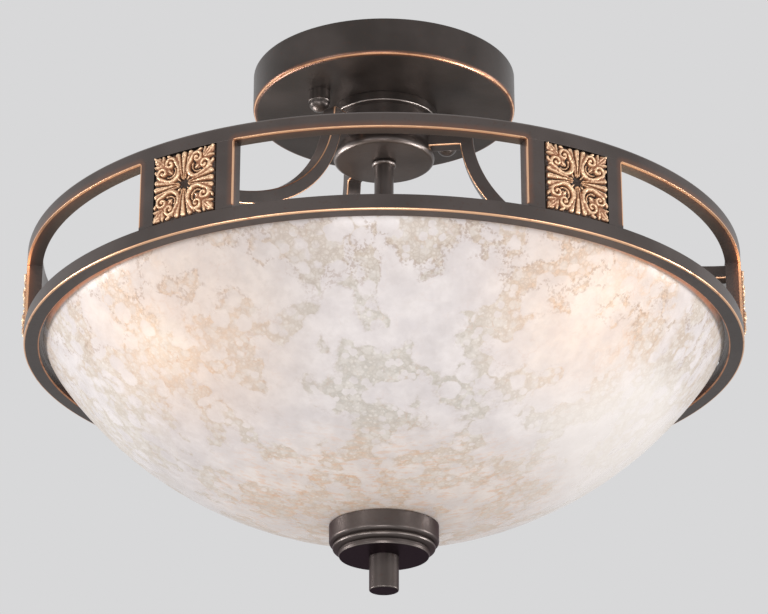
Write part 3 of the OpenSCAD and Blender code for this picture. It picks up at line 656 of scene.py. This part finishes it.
def plated(name, light, dark, rough=0.34, pitch=0):
    """Plated metal with fine streaks and dull patches, and a thread where there is a pitch."""
    paint = Paint(name)
    patch = paint.noise(9, 4, 0.6)
    streak = paint.noise(0.9, 3, 0.6, twist=0.6)
    colour = paint.mix(paint.fade(patch, 0.35, 0.7), light, dark)
    colour = paint.times(streak * 0.25, colour, tone(150, 148, 145))
    height = streak
    if pitch:
        wave = paint.maths("SINE", paint.z * (2 * math.pi / pitch))
        # Painted shade: the thread's grooves are darker
        colour = paint.mix(paint.fade(wave, 0.2, -1.0) * 0.55, colour, tone(96, 98, 102))
        height = streak * 0.3 + wave
    normal = paint.bump(height, 0.4 if pitch else 0.03)
    return paint.surface(colour, rough + (patch - 0.5) * 0.2, normal, Metallic=0.85)


def moulded(name, light, dark, rough=0.4, size=3.0, depth=0.04):
    """Moulded plastic, rubber or porcelain with a faint skin."""
    paint = Paint(name)
    cloud = paint.noise(size * 6, 3, 0.5)
    skin = paint.noise(size * 0.2, 3, 0.6)
    colour = paint.mix(paint.fade(cloud, 0.3, 0.7), light, dark)
    return paint.surface(colour, rough + (cloud - 0.5) * 0.12, paint.bump(skin, depth))


def opal():
    """Opal glass of a bulb, a little brighter away from its neck."""
    paint = Paint("opal_glass")
    body = paint.fade(paint.from_axis(), 78, 104)
    cloud = paint.noise(30, 2, 0.5)
    colour = paint.mix(cloud * 0.3 + body * 0.6, tone(226, 216, 198), tone(248, 243, 232))
    light = paint.mix(body, tone(120, 96, 66), tone(255, 232, 196))
    return paint.surface(colour, 0.2 + cloud * 0.06, Emission_Color=light, Emission_Strength=1.3)


paint_ring = ring_bronze()
paint_arms = arm_bronze()
paint_plain = bronze("bronze_plain")
paint_relief = relief_copper()
paint_glass = mottled_glass()
ZINC_TONES = tone(196, 198, 200), tone(150, 153, 158)
zinc = plated("zinc_steel", *ZINC_TONES)
threaded = plated("threaded_steel", *ZINC_TONES, pitch=1.0)
brass = plated("brass", tone(206, 164, 92), tone(158, 116, 58))
cap_metal = plated("bulb_metal", tone(208, 208, 206), tone(168, 168, 168), 0.28)
black_plastic = moulded("black_plastic", tone(34, 32, 31), tone(46, 43, 41), 0.36)
porcelain = moulded("porcelain", tone(240, 238, 231), tone(226, 222, 212), 0.22)
rubber = moulded("rubber", tone(30, 29, 28), tone(44, 42, 40), 0.62, 2.0, 0.08)
brown_sleeve = moulded("brown_lead", tone(112, 70, 44), tone(92, 56, 36), 0.4, 1.5)
blue_sleeve = moulded("blue_lead", tone(60, 104, 160), tone(48, 88, 140), 0.4, 1.5)
paint_bulb = opal()


def green_and_yellow():
    """The earth lead's sleeve, striped along its length."""
    paint = Paint("green_lead")
    stripe = paint.fade(paint.maths("SINE", (paint.x - paint.y) * 2.2), -0.1, 0.1)
    cloud = paint.noise(4, 3)
    colour = paint.mix(stripe, tone(74, 132, 62), tone(214, 196, 60))
    colour = paint.times(cloud * 0.3, colour, tone(190, 190, 190))
    return paint.surface(colour, 0.36 + cloud * 0.12)


paint_green = green_and_yellow()


# Canopy and what holds it

paint_canopy = bronze("bronze_canopy", (CANOPY_R - 0.2, -CANOPY_H + 0.2, 1.2, 0.95), pale=0.0)
turned("canopy_shell", eased([
    (TUBE_HOLE, -CANOPY_H), (CANOPY_R, -CANOPY_H, 2.4), (CANOPY_R, 0, 0.3),
    (CANOPY_R - CANOPY_WALL, 0, 0.3), (CANOPY_R - CANOPY_WALL, CANOPY_WALL - CANOPY_H, 1.2),
    (TUBE_HOLE, CANOPY_WALL - CANOPY_H)]), paint_canopy, 224, "fixture", "canopy")

for side, sign in (("left", 1), ("right", -1)):
    spot = stud_place(sign)
    paint_nut = bronze("bronze_cap_nut_" + side, worn=[(6.1, -CANOPY_H - 7.2, 0.8, 0.4)], centre=spot[:2])
    turned("cap_nut_dome_" + side, [(0, 0)] + eased([
        (6.5, 0), (6.5, -6.9, 0.8), (5.7, -8.1, 0.4)])[:-1] + arc(0, -6.6, 6.4, -22, -90, 16),
        paint_nut, 64, "cap_nut_" + side, "cap_nut_" + side, (spot - UP * CANOPY_H, np.eye(3)))


# Hub

def hub_outline(wall):
    """Straight neck, flare and rounded edge of the hub, from the top down."""
    neck, flare_low = HUB_R - wall, HUB_BOTTOM + HUB_EDGE
    flare = [(neck + HUB_EDGE * (1 - math.cos(math.pi * u)) / 2, flare_low + HUB_FLARE_H * (1 - u))
             for u in np.linspace(0, 1, 15)]
    return [(neck, HUB_TOP)] + flare + arc(HUB_R, flare_low, HUB_EDGE - wall, 0, -90, 12)


# pale=0.0 makes a darker copy of the bronze: painted shade on the collar's side. Its worn edge line is partly
# a painted highlight.
paint_collar = bronze("bronze_collar", worn=[(COLLAR_R - 0.1, HUB_TOP + 0.1, 0.5, 1.0)], pale=0.0)
turned("hub_collar_ring", eased([
    (TUBE_HOLE, -CANOPY_H), (COLLAR_R, -CANOPY_H, 0.2), (COLLAR_R, HUB_TOP, 0.5), (TUBE_HOLE, HUB_TOP)]),
    paint_collar, 160, "fixture", "hub_collar")

paint_hub = bronze("bronze_hub", worn=[(29.6, HUB_BOTTOM + 0.7, 0.8, 0.3)])
turned("hub_shell", hub_outline(0) + [(TUBE_HOLE, HUB_BOTTOM), (TUBE_HOLE, HUB_BOTTOM + HUB_WALL)]
       + hub_outline(HUB_WALL)[::-1], paint_hub, 160, "fixture", "hub_cup")

sleeve_top = HUB_BOTTOM - ROD_RING_H
paint_bead = bronze("bronze_rod_collar", worn=[(7.2, HUB_BOTTOM - 1.9, 0.8, 0.4)])
turned("rod_collar_bead", [(TUBE_HOLE, HUB_BOTTOM)]
       + arc(SLEEVE_R, HUB_BOTTOM - ROD_RING_H / 2, ROD_RING_H / 2, 90, -90, 14)
       + [(TUBE_HOLE, sleeve_top)], paint_bead, 64, "fixture", "rod_collar")
turned("cover_tube_sleeve", [
    (TUBE_HOLE, SLEEVE_LOW), (SLEEVE_R, SLEEVE_LOW), (SLEEVE_R, sleeve_top), (TUBE_HOLE, sleeve_top)],
    paint_plain, 64, "fixture", "cover_tube")


# Arms: one section carried along a level leg and a quarter of an ellipse

def arm_sides():
    """Pairs of (upper, lower) points along an arm, in radius and height."""
    depth = LEG_TOP - LEG_BOTTOM
    across, down = RING_IN - SWEEP_START, SWEEP_FALL
    start = math.asin(depth / (down + depth))

    def on_sweep(turn, more):
        return (RING_IN - (across + more) * math.cos(turn), LEG_TOP - (down + more) * math.sin(turn))

    low_x = on_sweep(start, depth)[0]
    pairs = [((x, LEG_TOP), (x, LEG_BOTTOM)) for x in np.linspace(LEG_START, low_x - 4, 8)]
    corner_x = SWEEP_START - BAR_CORNER
    for upper in arc(corner_x, LEG_TOP - BAR_CORNER, BAR_CORNER, 90, 12, 5):
        t = (upper[0] - corner_x) / BAR_CORNER
        pairs.append((upper, (low_x - 1.2 + 1.2 * t, LEG_BOTTOM)))
    for t in np.linspace(0.03, 1, 64):
        pairs.append((on_sweep(t * math.pi / 2, 0), on_sweep(start + (math.pi / 2 - start) * t, depth)))
    return pairs


def section(width, depth, rounding, strengths):
    """A rounded bar's section, and how rubbed each of its points is from its corners' strengths."""
    points, rub = [], []
    corners = [(width / 2, -1, -90), (width / 2, 1, 0), (-width / 2, 1, 90), (-width / 2, -1, 180)]
    for (x, end, turn), strength in zip(corners, strengths):
        middle = (x - math.copysign(rounding, x), end * (depth / 2 - rounding))
        swept = arc(*middle, rounding, turn, turn + 90, 4)
        lead_in = arc(*swept[0], 0.5, turn - 90, turn - 90, 0)
        lead_out = arc(*swept[-1], 0.5, turn + 180, turn + 180, 0)
        points += lead_in + swept + lead_out
        rub += [0.0, strength * 0.35, strength, strength, strength, strength * 0.35, 0.0]
    return points, rub


def arm(name, direction, strengths):
    way, across = outward(direction), sideways(direction)
    pairs = arm_sides()
    points, rub = [], []
    for i, ((ux, uz), (lx, lz)) in enumerate(pairs):
        high, low = way * ux + UP * uz, way * lx + UP * lz
        middle, rise = (high + low) / 2, high - low
        depth = np.linalg.norm(rise)
        rise = rise / depth
        left = 1 - 0.75 * (i / len(pairs))
        shape, worn = section(BAR_W, depth, 0.8, [a * b for a, b in zip(strengths, (1, left, left, 1))])
        points += [middle + across * s + rise * t for s, t in shape]
        rub += worn
    n = len(points) // len(pairs)
    faces = [[i * n + k, i * n + (k + 1) % n, (i + 1) * n + (k + 1) % n, (i + 1) * n + k]
             for i in range(len(pairs) - 1) for k in range(n)]
    faces += [list(range(n))[::-1], list(range(len(points) - n, len(points)))]
    piece = solid(name, points, faces, paint_arms, 50, rub=rub)
    settle(piece)
    return piece


# How rubbed each arm is along its low and high edges, on its two sides
ARM_RUB = [(0.5, 0.3, 0.42, 1.0), (0.9, 0.4, 0.2, 0.2), (0.95, 1.0, 0.3, 0.35)]
for i, direction in enumerate(ARM_DIRECTIONS):
    dress(arm(f"arm_bar_{i + 1}", direction, ARM_RUB[i]), "fixture", f"arm_{i + 1}")


# Ring: two rails swept round a circle, and six posts set out round the light

def swept_ring():
    shape = Shape("profile round a circle", {"Radius": 0.2, "Steps": 360})
    circle = shape.node("GeometryNodeCurvePrimitiveCircle", None, {
        "Resolution": shape.size("Steps"), "Radius": shape.size("Radius")})
    profile = shape.node("GeometryNodeMeshToCurve", None, {0: shape.size("Geometry")})
    swept = shape.node("GeometryNodeCurveToMesh", None, {"Curve": circle, "Profile Curve": profile})
    return shape.ends(shape.node("GeometryNodeSetShadeSmooth", None, {0: swept}))


def set_out_round():
    """Copies of one piece at equal turns about the light's axis."""
    shape = Shape("set out round the axis", {"Count": 6, "First": 0.0, "Step": 60.0})
    places = shape.node("GeometryNodePoints", None, {"Count": shape.size("Count")})
    index = shape.node("GeometryNodeInputIndex")
    turn = (shape.size("First") + index * shape.size("Step")) * math.radians(1)
    turned_by = shape.node("ShaderNodeCombineXYZ", None, {2: turn})
    return shape.ends(shape.node("GeometryNodeInstanceOnPoints", None, {
        "Points": places, "Instance": shape.size("Geometry"), "Rotation": turned_by}))


ring_shape = swept_ring()
round_shape = set_out_round()


def rail(node, low, high, rounding):
    """A rail, with the rounding of its edges: low inner, low outer, high outer and high inner."""
    inner = RING_IN - RING_OUT
    outline = eased(list(zip((inner, 0, 0, inner), (low, low, high, high), rounding)), 0.2)
    count = len(outline)
    loop = [(i, (i + 1) % count) for i in range(count)]
    name = node + "_ring"
    start = plain_mesh(name, [(x, -z, 0) for x, z in outline], [], loop)
    piece = ring_shape.makes(name, start, paint_ring, Radius=RING_OUT * MM, Steps=360)
    dress(piece, "fixture", node)


rail("top_rail", WINDOW_TOP, RING_TOP, (0.15, 0.15, 0.8, 0.8))
rail("bottom_rail", RING_BOTTOM, WINDOW_BOTTOM, (0.8, 0.9, 0.15, 0.4))


def one_post():
    """The post at the front, with a square pocket for its tile."""
    half, pocket = math.radians(POST_HALF), POCKET_W / 2
    edge = math.asin(pocket / RING_OUT)
    angles = [-half, 0.004 - half, *np.linspace(-edge, edge, 13), half - 0.004, half]
    n = len(angles)
    first, last = 2, n - 3
    points = [(math.sin(a) * radius, -math.cos(a) * radius, z)
              for radius in (RING_OUT, RING_IN) for z in (WINDOW_BOTTOM, WINDOW_TOP) for a in angles]
    low, high, low_in, high_in = [list(range(row * n, row * n + n)) for row in range(4)]
    points += [(x, -POCKET_FLOOR, z) for z in (WINDOW_BOTTOM, WINDOW_TOP) for x in (-pocket, pocket)]
    left, right, left_up, right_up = range(4 * n, 4 * n + 4)
    faces = [[low_in[i + 1], low_in[i], high_in[i], high_in[i + 1]] for i in range(n - 1)]
    faces += [[low[i], low[i + 1], high[i + 1], high[i]] for i in range(n - 1) if not first <= i < last]
    faces += [
        [high[first], left_up, left, low[first]], [right, right_up, high[last], low[last]],
        [left, right, right_up, left_up],
        [low_in[0], low[0], high[0], high_in[0]], [low[-1], low_in[-1], high_in[-1], high[-1]],
        low[:first + 1] + [left, right] + low[last:] + low_in[::-1],
        high_in + (high[:first + 1] + [left_up, right_up] + high[last:])[::-1]]
    mesh = plain_mesh("post", points, faces)
    mesh.set_sharp_from_angle(angle=math.radians(40))
    return mesh


posts = round_shape.makes(
    "ring_posts", one_post(), paint_ring, Count=len(POST_DIRECTIONS), First=30.0, Step=60.0)
dress(posts, "fixture", "posts")


# Tiles: one cast ornament, the same on all six

def ridge(x, y, route, widths, height):
    """A rounded ridge along a route, as wide at each point as widths says."""
    best = np.full(x.shape, 9.0)
    for (ax, ay), (bx, by), wa, wb in zip(route[:-1], route[1:], widths[:-1], widths[1:]):
        dx, dy = bx - ax, by - ay
        t = np.clip(((x - ax) * dx + (y - ay) * dy) / (dx * dx + dy * dy), 0, 1)
        away = np.hypot(x - ax - t * dx, y - ay - t * dy)
        best = np.minimum(best, away / (wa + (wb - wa) * t))
    return height * np.sqrt(np.clip(1 - best ** 2, 0, 1))


def curl(x, y, radius, start, turns, steps=40):
    """A spiral that winds inward."""
    t = np.linspace(0, 1, steps)
    angle = np.radians(start + 360 * turns * t)
    r = radius * (1 - 0.78 * t)
    return list(zip(x + r * np.cos(angle), y + r * np.sin(angle)))


# Half a quarter of the ornament in mm from its middle: routes, widths at their points, and heights
RIDGES = [
    ([(2.6, 0), (9.0, 0), (17.6, 0)], [0.35, 0.8, 1.75], 0.86),
    ([(3.2, 0.9), (9.4, 2.0), (17.4, 4.2)], [0.35, 0.8, 1.7], 0.82),
    ([(11.5, 4.3), (17.2, 6.9)], [0.35, 0.9], 0.6),
    (arc(8.5, 8.5, 5.6, 225, 290, 14) + curl(13.4, 8.7, 3.5, 280, 1.2),
     [*np.linspace(1.55, 1.25, 15), *np.linspace(1.25, 0.85, 40)], 1.0),
    ([(13.4, 8.6), (13.6, 8.7)], [0.9, 0.9], 0.9),
    (arc(8.9, 8.9, 3.5, 225, 300, 10), [0.55] * 11, 0.66),
    ([(7.6, 7.6), (10.6, 10.6), (12.4, 12.4)], [0.6, 1.5, 0.6], 0.78),
    ([(8.9, 7.4), (11.4, 8.4)], [0.45, 0.5], 0.55),
    ([(12.8, 12.8), (15.6, 15.6), (18.7, 18.7)], [0.9, 2.3, 0.7], 0.92),
    ([(13.4, 12.6), (16.4, 13.2), (18.7, 13.4)], [0.7, 1.5, 0.7], 0.82),
    ([(17.4, 8.9), (18.5, 10.4)], [0.9, 1.1], 0.72),
    ([(2.2, 2.2), (3.9, 3.9)], [0.4, 0.9], 0.62),
    ([(17.9, 15.6), (18.6, 16.9)], [1.0, 0.8], 0.62)]
GROOVES = [
    ([(4.0, 0), (17.8, 0)], 0.3, 0.16),
    ([(5.0, 1.2), (17.6, 4.3)], 0.28, 0.14),
    ([(12.6, 12.6), (18.2, 18.2)], 0.45, 0.22),
    ([(13.0, 11.9), (18.2, 12.8)], 0.38, 0.18),
    ([(8.8, 8.8), (12.2, 12.2)], 0.36, 0.16)]


def ornament(x, y):
    """Height of the ornament from 0 to 1, the same in all eight half-quarters."""
    far, close = np.maximum(abs(x), abs(y)), np.minimum(abs(x), abs(y))
    high = np.zeros(x.shape)
    for route, widths, height in RIDGES:
        high = np.maximum(high, ridge(far, close, route, widths, height))
    for route, width, depth in GROOVES:
        high = high - ridge(far, close, route, [width, width], depth)
    star = close * 1.9 + far
    return np.where(star < 2.5, 0.0, np.maximum(high, 0.04))


def blurred(grid, times):
    for _ in range(times):
        padded = np.pad(grid, 1, mode="edge")
        grid = (padded[:-2, 1:-1] + padded[2:, 1:-1] + padded[1:-1, :-2] + padded[1:-1, 2:] + 2 * grid) / 6
    return grid


def tile_parts(cells=132):
    """Points (across, up, out), faces, height and crest of one tile."""
    line = np.linspace(-TILE_W / 2, TILE_W / 2, cells + 1)
    x, y = np.meshgrid(line, line)
    high = blurred(ornament(x, y), 1)
    rng = np.random.default_rng(7)
    high = np.clip(high + blurred(rng.normal(0, 0.3, x.shape), 5) * 0.6, 0, 1)
    rim = np.clip((TILE_W / 2 - np.maximum(abs(x), abs(y))) / 0.5, 0, 1)
    high = high * np.sqrt(np.clip(rim, 0.0, 1))
    crest = np.clip(0.42 + (high - blurred(high, 22)) * 1.5, 0, 1) * np.clip(high * 2.0, 0, 1)
    n = cells + 1
    points = [(a, b, 2.0 + 2.95 * c) for a, b, c in zip(x.ravel(), y.ravel(), high.ravel())]
    faces = [[j * n + i, j * n + i + 1, (j + 1) * n + i + 1, (j + 1) * n + i]
             for j in range(cells) for i in range(cells)]
    edge = (list(range(n)) + [j * n + n - 1 for j in range(1, n)]
            + [(n - 1) * n + i for i in range(n - 2, -1, -1)] + [j * n for j in range(n - 2, 0, -1)])
    base = len(points)
    points += [(*points[k][:2], 0.0) for k in edge]
    count = len(edge)
    faces += [[edge[(k + 1) % count], edge[k], base + k, base + (k + 1) % count] for k in range(count)]
    faces.append([base + k for k in range(count)][::-1])
    return np.array(points), faces, *[np.append(values, np.zeros(count)) for values in (high, crest)]


tile_points, tile_faces, tile_heights, tile_crests = tile_parts()
for i, direction in enumerate(POST_DIRECTIONS, 1):
    way, across = outward(direction), sideways(direction)
    frame_of_tile = np.stack([across, UP, way])
    placed = tile_points @ frame_of_tile + way * POCKET_FLOOR + UP * TILE_Z
    tile = solid(
        f"tile_face_{i}", placed, tile_faces, paint_relief, 60, height=tile_heights, crest=tile_crests)
    settle(tile)
    dress(tile, "fixture", f"tile_{i}")


# Glass bowl

def bowl_outline():
    """The outside from its hole out, over the rim and back along the inside: a ball and a shoulder."""
    x, y = SHOULDER_MIDDLE
    join = math.degrees(math.atan2(SHOULDER_START[1] - BOWL_MIDDLE, SHOULDER_START[0]))
    turn = math.degrees(math.atan2(RIM[1] - y, RIM[0] - x))

    def skin(wall, steps, shoulder_steps):
        ball = BOWL_BALL - wall
        hole = -math.degrees(math.acos(BOWL_HOLE / ball))
        shoulder = arc(x, y, SHOULDER_BALL - wall, join, turn, shoulder_steps)
        return arc(0, BOWL_MIDDLE, ball, hole, join, steps) + shoulder[1:]

    rim_x, rim_y = arc(x, y, SHOULDER_BALL - GLASS_WALL / 2, turn, turn, 1)[0]
    rim = arc(rim_x, rim_y, GLASS_WALL / 2, turn, turn + 180, 12)
    return skin(0, 110, 16) + rim[1:-1] + skin(GLASS_WALL, 70, 10)[-2::-1]


turned("glass_shade", bowl_outline(), paint_glass, 288, "bowl", "glass_bowl")


# Finial

paint_cup = bronze("bronze_finial", pale=0.5, foot=CUP_BOTTOM, worn=[
    (30.8, -296.6, 0.8, 0.2), (29.4, -299.3, 1.0, 0.6), (25.9, -304.4, 0.5, 0.3)])
turned("finial_cup_body", eased([
    (5.05, -291.0), (28.5, -291.0, 0.3), (28.5, -286.9), (CUP_R, CUP_TOP, 0.4), (CUP_R, -297.2, 1.9),
    (29.3, -297.8, 0.2)]) + arc(27.9, -299.5, 1.6, 40, -70, 10) + eased([
        (26.2, -301.5, 0.2), (26.2, -303.4, 0.4), (25.6, CUP_BOTTOM, 0.5), (5.05, CUP_BOTTOM)]),
    paint_cup, 192, "finial", "finial_cup")

paint_stem = bronze("bronze_stem", worn=[(STEM_R - 0.2, STEM_LOW + 0.4, 0.5, 0.3)], pale=0.5, foot=STEM_LOW)
turned("finial_stem_body", eased([
    (0, CUP_BOTTOM), (STEM_R, CUP_BOTTOM), (STEM_R, -311.0), (STEM_R, STEM_LOW, 0.9), (0, STEM_LOW)]),
    paint_stem, 96, "finial", "finial_stem")


# Nuts, threads, screws and leads

def hex_nut(node, z_low, finish, across=17.0, height=4.0, steps=72):
    """A hexagon nut with chamfered corners."""
    angles = np.linspace(0, 2 * math.pi, steps, endpoint=False)
    hexagon = across / 2 / np.cos((angles + math.pi / 6) % (math.pi / 3) - math.pi / 6)
    face_r = across / 2 * 0.94
    sink = (hexagon - face_r) * 0.55
    z_high = z_low + height
    levels = [(TUBE_HOLE, z_low), (face_r, z_low), (hexagon, z_low + sink), (hexagon, z_high - sink),
              (face_r, z_high), (TUBE_HOLE, z_high)]
    points = [(r * math.cos(a), r * math.sin(a), z) for radii, heights in levels
              for r, a, z in np.broadcast(radii, angles, heights)]
    count = len(levels)
    faces = [[a * steps + i, a * steps + (i + 1) % steps, b * steps + (i + 1) % steps, b * steps + i]
             for a in range(count) for b in [(a + 1) % count] for i in range(steps)]
    piece = solid(node + "_hex", points, faces, finish, 25)
    settle(piece)
    dress(piece, "fixture", node)


hex_nut("canopy_nut", -21.2, zinc)
hex_nut("hub_nut", LEG_TOP - 4.0, zinc)
hex_nut("lamp_block_nut", -186.0, paint_plain)
hex_nut("bowl_nut", -278.0, zinc)


def tube_shape():
    """A round lead along a route of points."""
    shape = Shape("round lead", {"Thickness": 0.0009, "Step": 0.0012})
    route = shape.node("GeometryNodeMeshToCurve", None, {0: shape.size("Geometry")})
    route = shape.node("GeometryNodeCurveSplineType", {"spline_type": "CATMULL_ROM"}, {0: route})
    route = shape.node("GeometryNodeResampleCurve", {"mode": "LENGTH"}, {
        "Curve": route, "Length": shape.size("Step")})
    profile = shape.node("GeometryNodeCurvePrimitiveCircle", None, {
        "Resolution": 14, "Radius": shape.size("Thickness")})
    swept = shape.node("GeometryNodeCurveToMesh", None, {
        "Curve": route, "Profile Curve": profile, "Fill Caps": True})
    return shape.ends(shape.node("GeometryNodeSetShadeSmooth", None, {0: swept}))


lead_shape = tube_shape()
BEND = 1.6
LEAD_TOP = -STRIP_T - 2.6


def down_the_tube(x, y):
    return [(x, y, LEAD_TOP - BEND), (x, y, -9 - 2.5 * BEND), (x, y, -40), (x, y, LAMP_Z / 2), (x, y, -120),
            (x, y, -162)]


def from_block(pole, x, y):
    px, bz = (pole - 1) * 10.0, -STRIP_T - BLOCK_H / 2
    return [(px, BLOCK_Y + 6, bz), (px, BLOCK_Y, bz), (px, BLOCK_Y - 2 * BEND, bz + BEND / 2),
            (px * 0.7 + x * 0.3, BLOCK_Y / 2, LEAD_TOP), (px * 0.25 + x * 0.75, y + 1.4 * BEND, LEAD_TOP),
            (x, y + BEND / 2, LEAD_TOP - BEND / 5)] + down_the_tube(x, y)


def from_earth(x, y):
    start = EARTH_X + 3.5
    along = [(start, 0, -4.1), (start + 5 * BEND, -0.9, LEAD_TOP - BEND / 3), (EARTH_X / 2, -1.8, LEAD_TOP),
             (x - 3 * BEND, y, LEAD_TOP), (x - BEND, y, LEAD_TOP), (x - BEND / 4, y, LEAD_TOP - BEND / 2)]
    return along + down_the_tube(x, y)


LEAD_RING = 1.7
lead_x, lead_y = sideways(30)[:2] * LEAD_RING
strip_frame = np.stack([outward(STUD_DIRECTION), sideways(STUD_DIRECTION), UP])
for node, route, finish, slot in (
        ("lead_live", from_block(2, lead_x, lead_y), brown_sleeve, "brown_lead"),
        ("lead_neutral", from_block(0, -lead_x, lead_y), blue_sleeve, "blue_lead"),
        ("lead_earth", from_earth(0, -LEAD_RING), paint_green, "green_lead")):
    placed = np.array(route) @ strip_frame
    start = plain_mesh(node, placed, [], [(i, i + 1) for i in range(len(placed) - 1)])
    lead = lead_shape.makes(node + "_wire", start, finish, Thickness=0.9 * MM, Step=1.2 * MM)
    dress(lead, "fixture", node)


# Lampholders and bulbs, each along its own lamp's axis

def dome_outline(wall):
    return [(9.5 - wall + 10 * math.sin(a), 23 + wall + (19 - wall) * (1 - math.cos(a)))
            for a in np.linspace(0, math.pi / 2, 18)]


def bulb_outline():
    """A collar, a neck that widens smoothly, and the globe."""
    z1 = BULB_MIDDLE - BULB_R * math.sin(math.radians(35))
    r1 = BULB_R * math.cos(math.radians(35))
    r0, length, lean = 13.0, z1 - 4, math.tan(math.radians(35))
    neck = [(r0 + (r1 - r0) * (3 * s ** 2 - 2 * s ** 3) + lean * length * (s ** 3 - s ** 2), 4 + length * s)
            for s in np.linspace(0, 1, 22)]
    return [(0, 0), (r0, 0)] + neck + arc(0, BULB_MIDDLE, BULB_R, -33, 90, 40)


for side in ("right", "left"):
    axis = lamp_axis(side)
    turned("lampholder_dome_" + side, [(5.05, 16), (9.5, 16), (9.5, 22.5)] + dome_outline(0)
           + dome_outline(2.4)[::-1] + [(5.05, 25.4)],
           black_plastic, 96, "fixture", "holder_dome_" + side, axis)
    turned("lampholder_skirt_" + side, eased([
        (17.1, 42), (19.5, 42, 0.4), (19.5, 78, 1.4), (15.0, 78, 0.6), (15.0, 75, 0.3), (17.1, 75)]),
        black_plastic, 96, "fixture", "holder_skirt_" + side, axis)
    turned("bulb_globe_" + side, bulb_outline(), paint_bulb, 96, side + "_bulb", "bulb_" + side,
           (axis[0] + axis[1][2] * BULB_START, axis[1]))


# Nodes that keep their own shape get a finish

for finish, nodes in (
        (zinc, "ceiling_strip canopy_washer hub_plate hub_screws side_nipples bowl_stop"),
        (threaded, "studs central_tube"),
        (brass, "earth_screw terminal_screws screw_shell_right screw_shell_left"),
        (porcelain, "terminal_block holder_insert_right holder_insert_left"),
        (paint_plain, "lamp_block lamp_block_lid"),
        (cap_metal, "bulb_cap_right bulb_cap_left"),
        (rubber, "upper_gasket lower_gasket")):
    for node in nodes.split():
        kept = frame["nodes"][node].data.materials
        kept.clear()
        kept.append(finish)


# Floor, world, lights and camera

def floor_finish():
    paint = Paint("pale_floor")
    cloud = paint.noise(900, 2)
    colour = paint.mix(cloud, tone(226, 226, 226), tone(232, 232, 232))
    return paint.surface(colour, 0.7)


FLOOR_Z = -2600
floor = solid("floor", [(x * 9000, y * 9000, FLOOR_Z) for x, y in ((-1, -1), (1, -1), (1, 1), (-1, 1))],
              [[0, 1, 2, 3]], floor_finish())


class Sky(Nodes):
    """The room: an even pale light, and a pale background where it is seen or mirrored."""

    def __init__(self):
        world = bpy.data.worlds.new("room")
        bpy.context.scene.world = world
        world.use_nodes = True
        self.tree = world.node_tree
        self.tree.nodes.clear()
        rays = ("Is Camera Ray", "Is Glossy Ray", "Is Transmission Ray")
        seen = self.highest(*[self.node("ShaderNodeLightPath", output=name) for name in rays])
        even = self.node("ShaderNodeBackground", None, {"Color": (1, 1, 1, 1), "Strength": 0.5})
        backdrop = self.node("ShaderNodeBackground", None, {"Color": tone(216, 216, 217), "Strength": 1.0})
        both = self.node("ShaderNodeMixShader", None, {0: seen, 1: even, 2: backdrop})
        self.node("ShaderNodeOutputWorld", None, {"Surface": both})


Sky()


def aimed(thing, place, aim_z):
    """Stands a lamp or camera there, turned to that height on the light's axis."""
    thing.location = place
    thing.rotation_euler = (Vector((0, 0, aim_z)) - thing.location).to_track_quat("-Z", "Y").to_euler()


for name, place, aim_z, size, power in (
        ("left_light", (-2.3, 0.3, -0.35), -0.15, 0.5, 27),
        ("right_light", (2.3, 0.25, -0.35), -0.15, 0.5, 24),
        ("front_left_light", (-1.6, -1.9, -0.5), -0.15, 0.8, 13),
        ("front_right_light", (1.9, -1.6, -0.5), -0.15, 0.8, 12),
        ("low_light", (-0.1, -2.1, -1.15), -0.2, 0.9, 19),
        ("right_bulb_light", (*outward(LAMP_DIRECTION)[:2] * 0.118, -0.132), -0.03, 0.05, 0.22),
        ("left_bulb_light", (*outward(LAMP_DIRECTION)[:2] * -0.118, -0.132), -0.03, 0.05, 0.22)):
    lamp = bpy.data.lights.new(name, "AREA")
    lamp.size = size
    lamp.energy = power
    aimed(shown(name, lamp), place, aim_z)

view = bpy.data.cameras.new("view")
view.lens = 138.637
view.sensor_width = 36
camera = shown("view", view)
aimed(camera, outward(0.6) * 1.6079 - UP * 0.8293, -0.150)
bpy.context.scene.camera = camera
bpy.context.scene.view_settings.view_transform = "Standard"
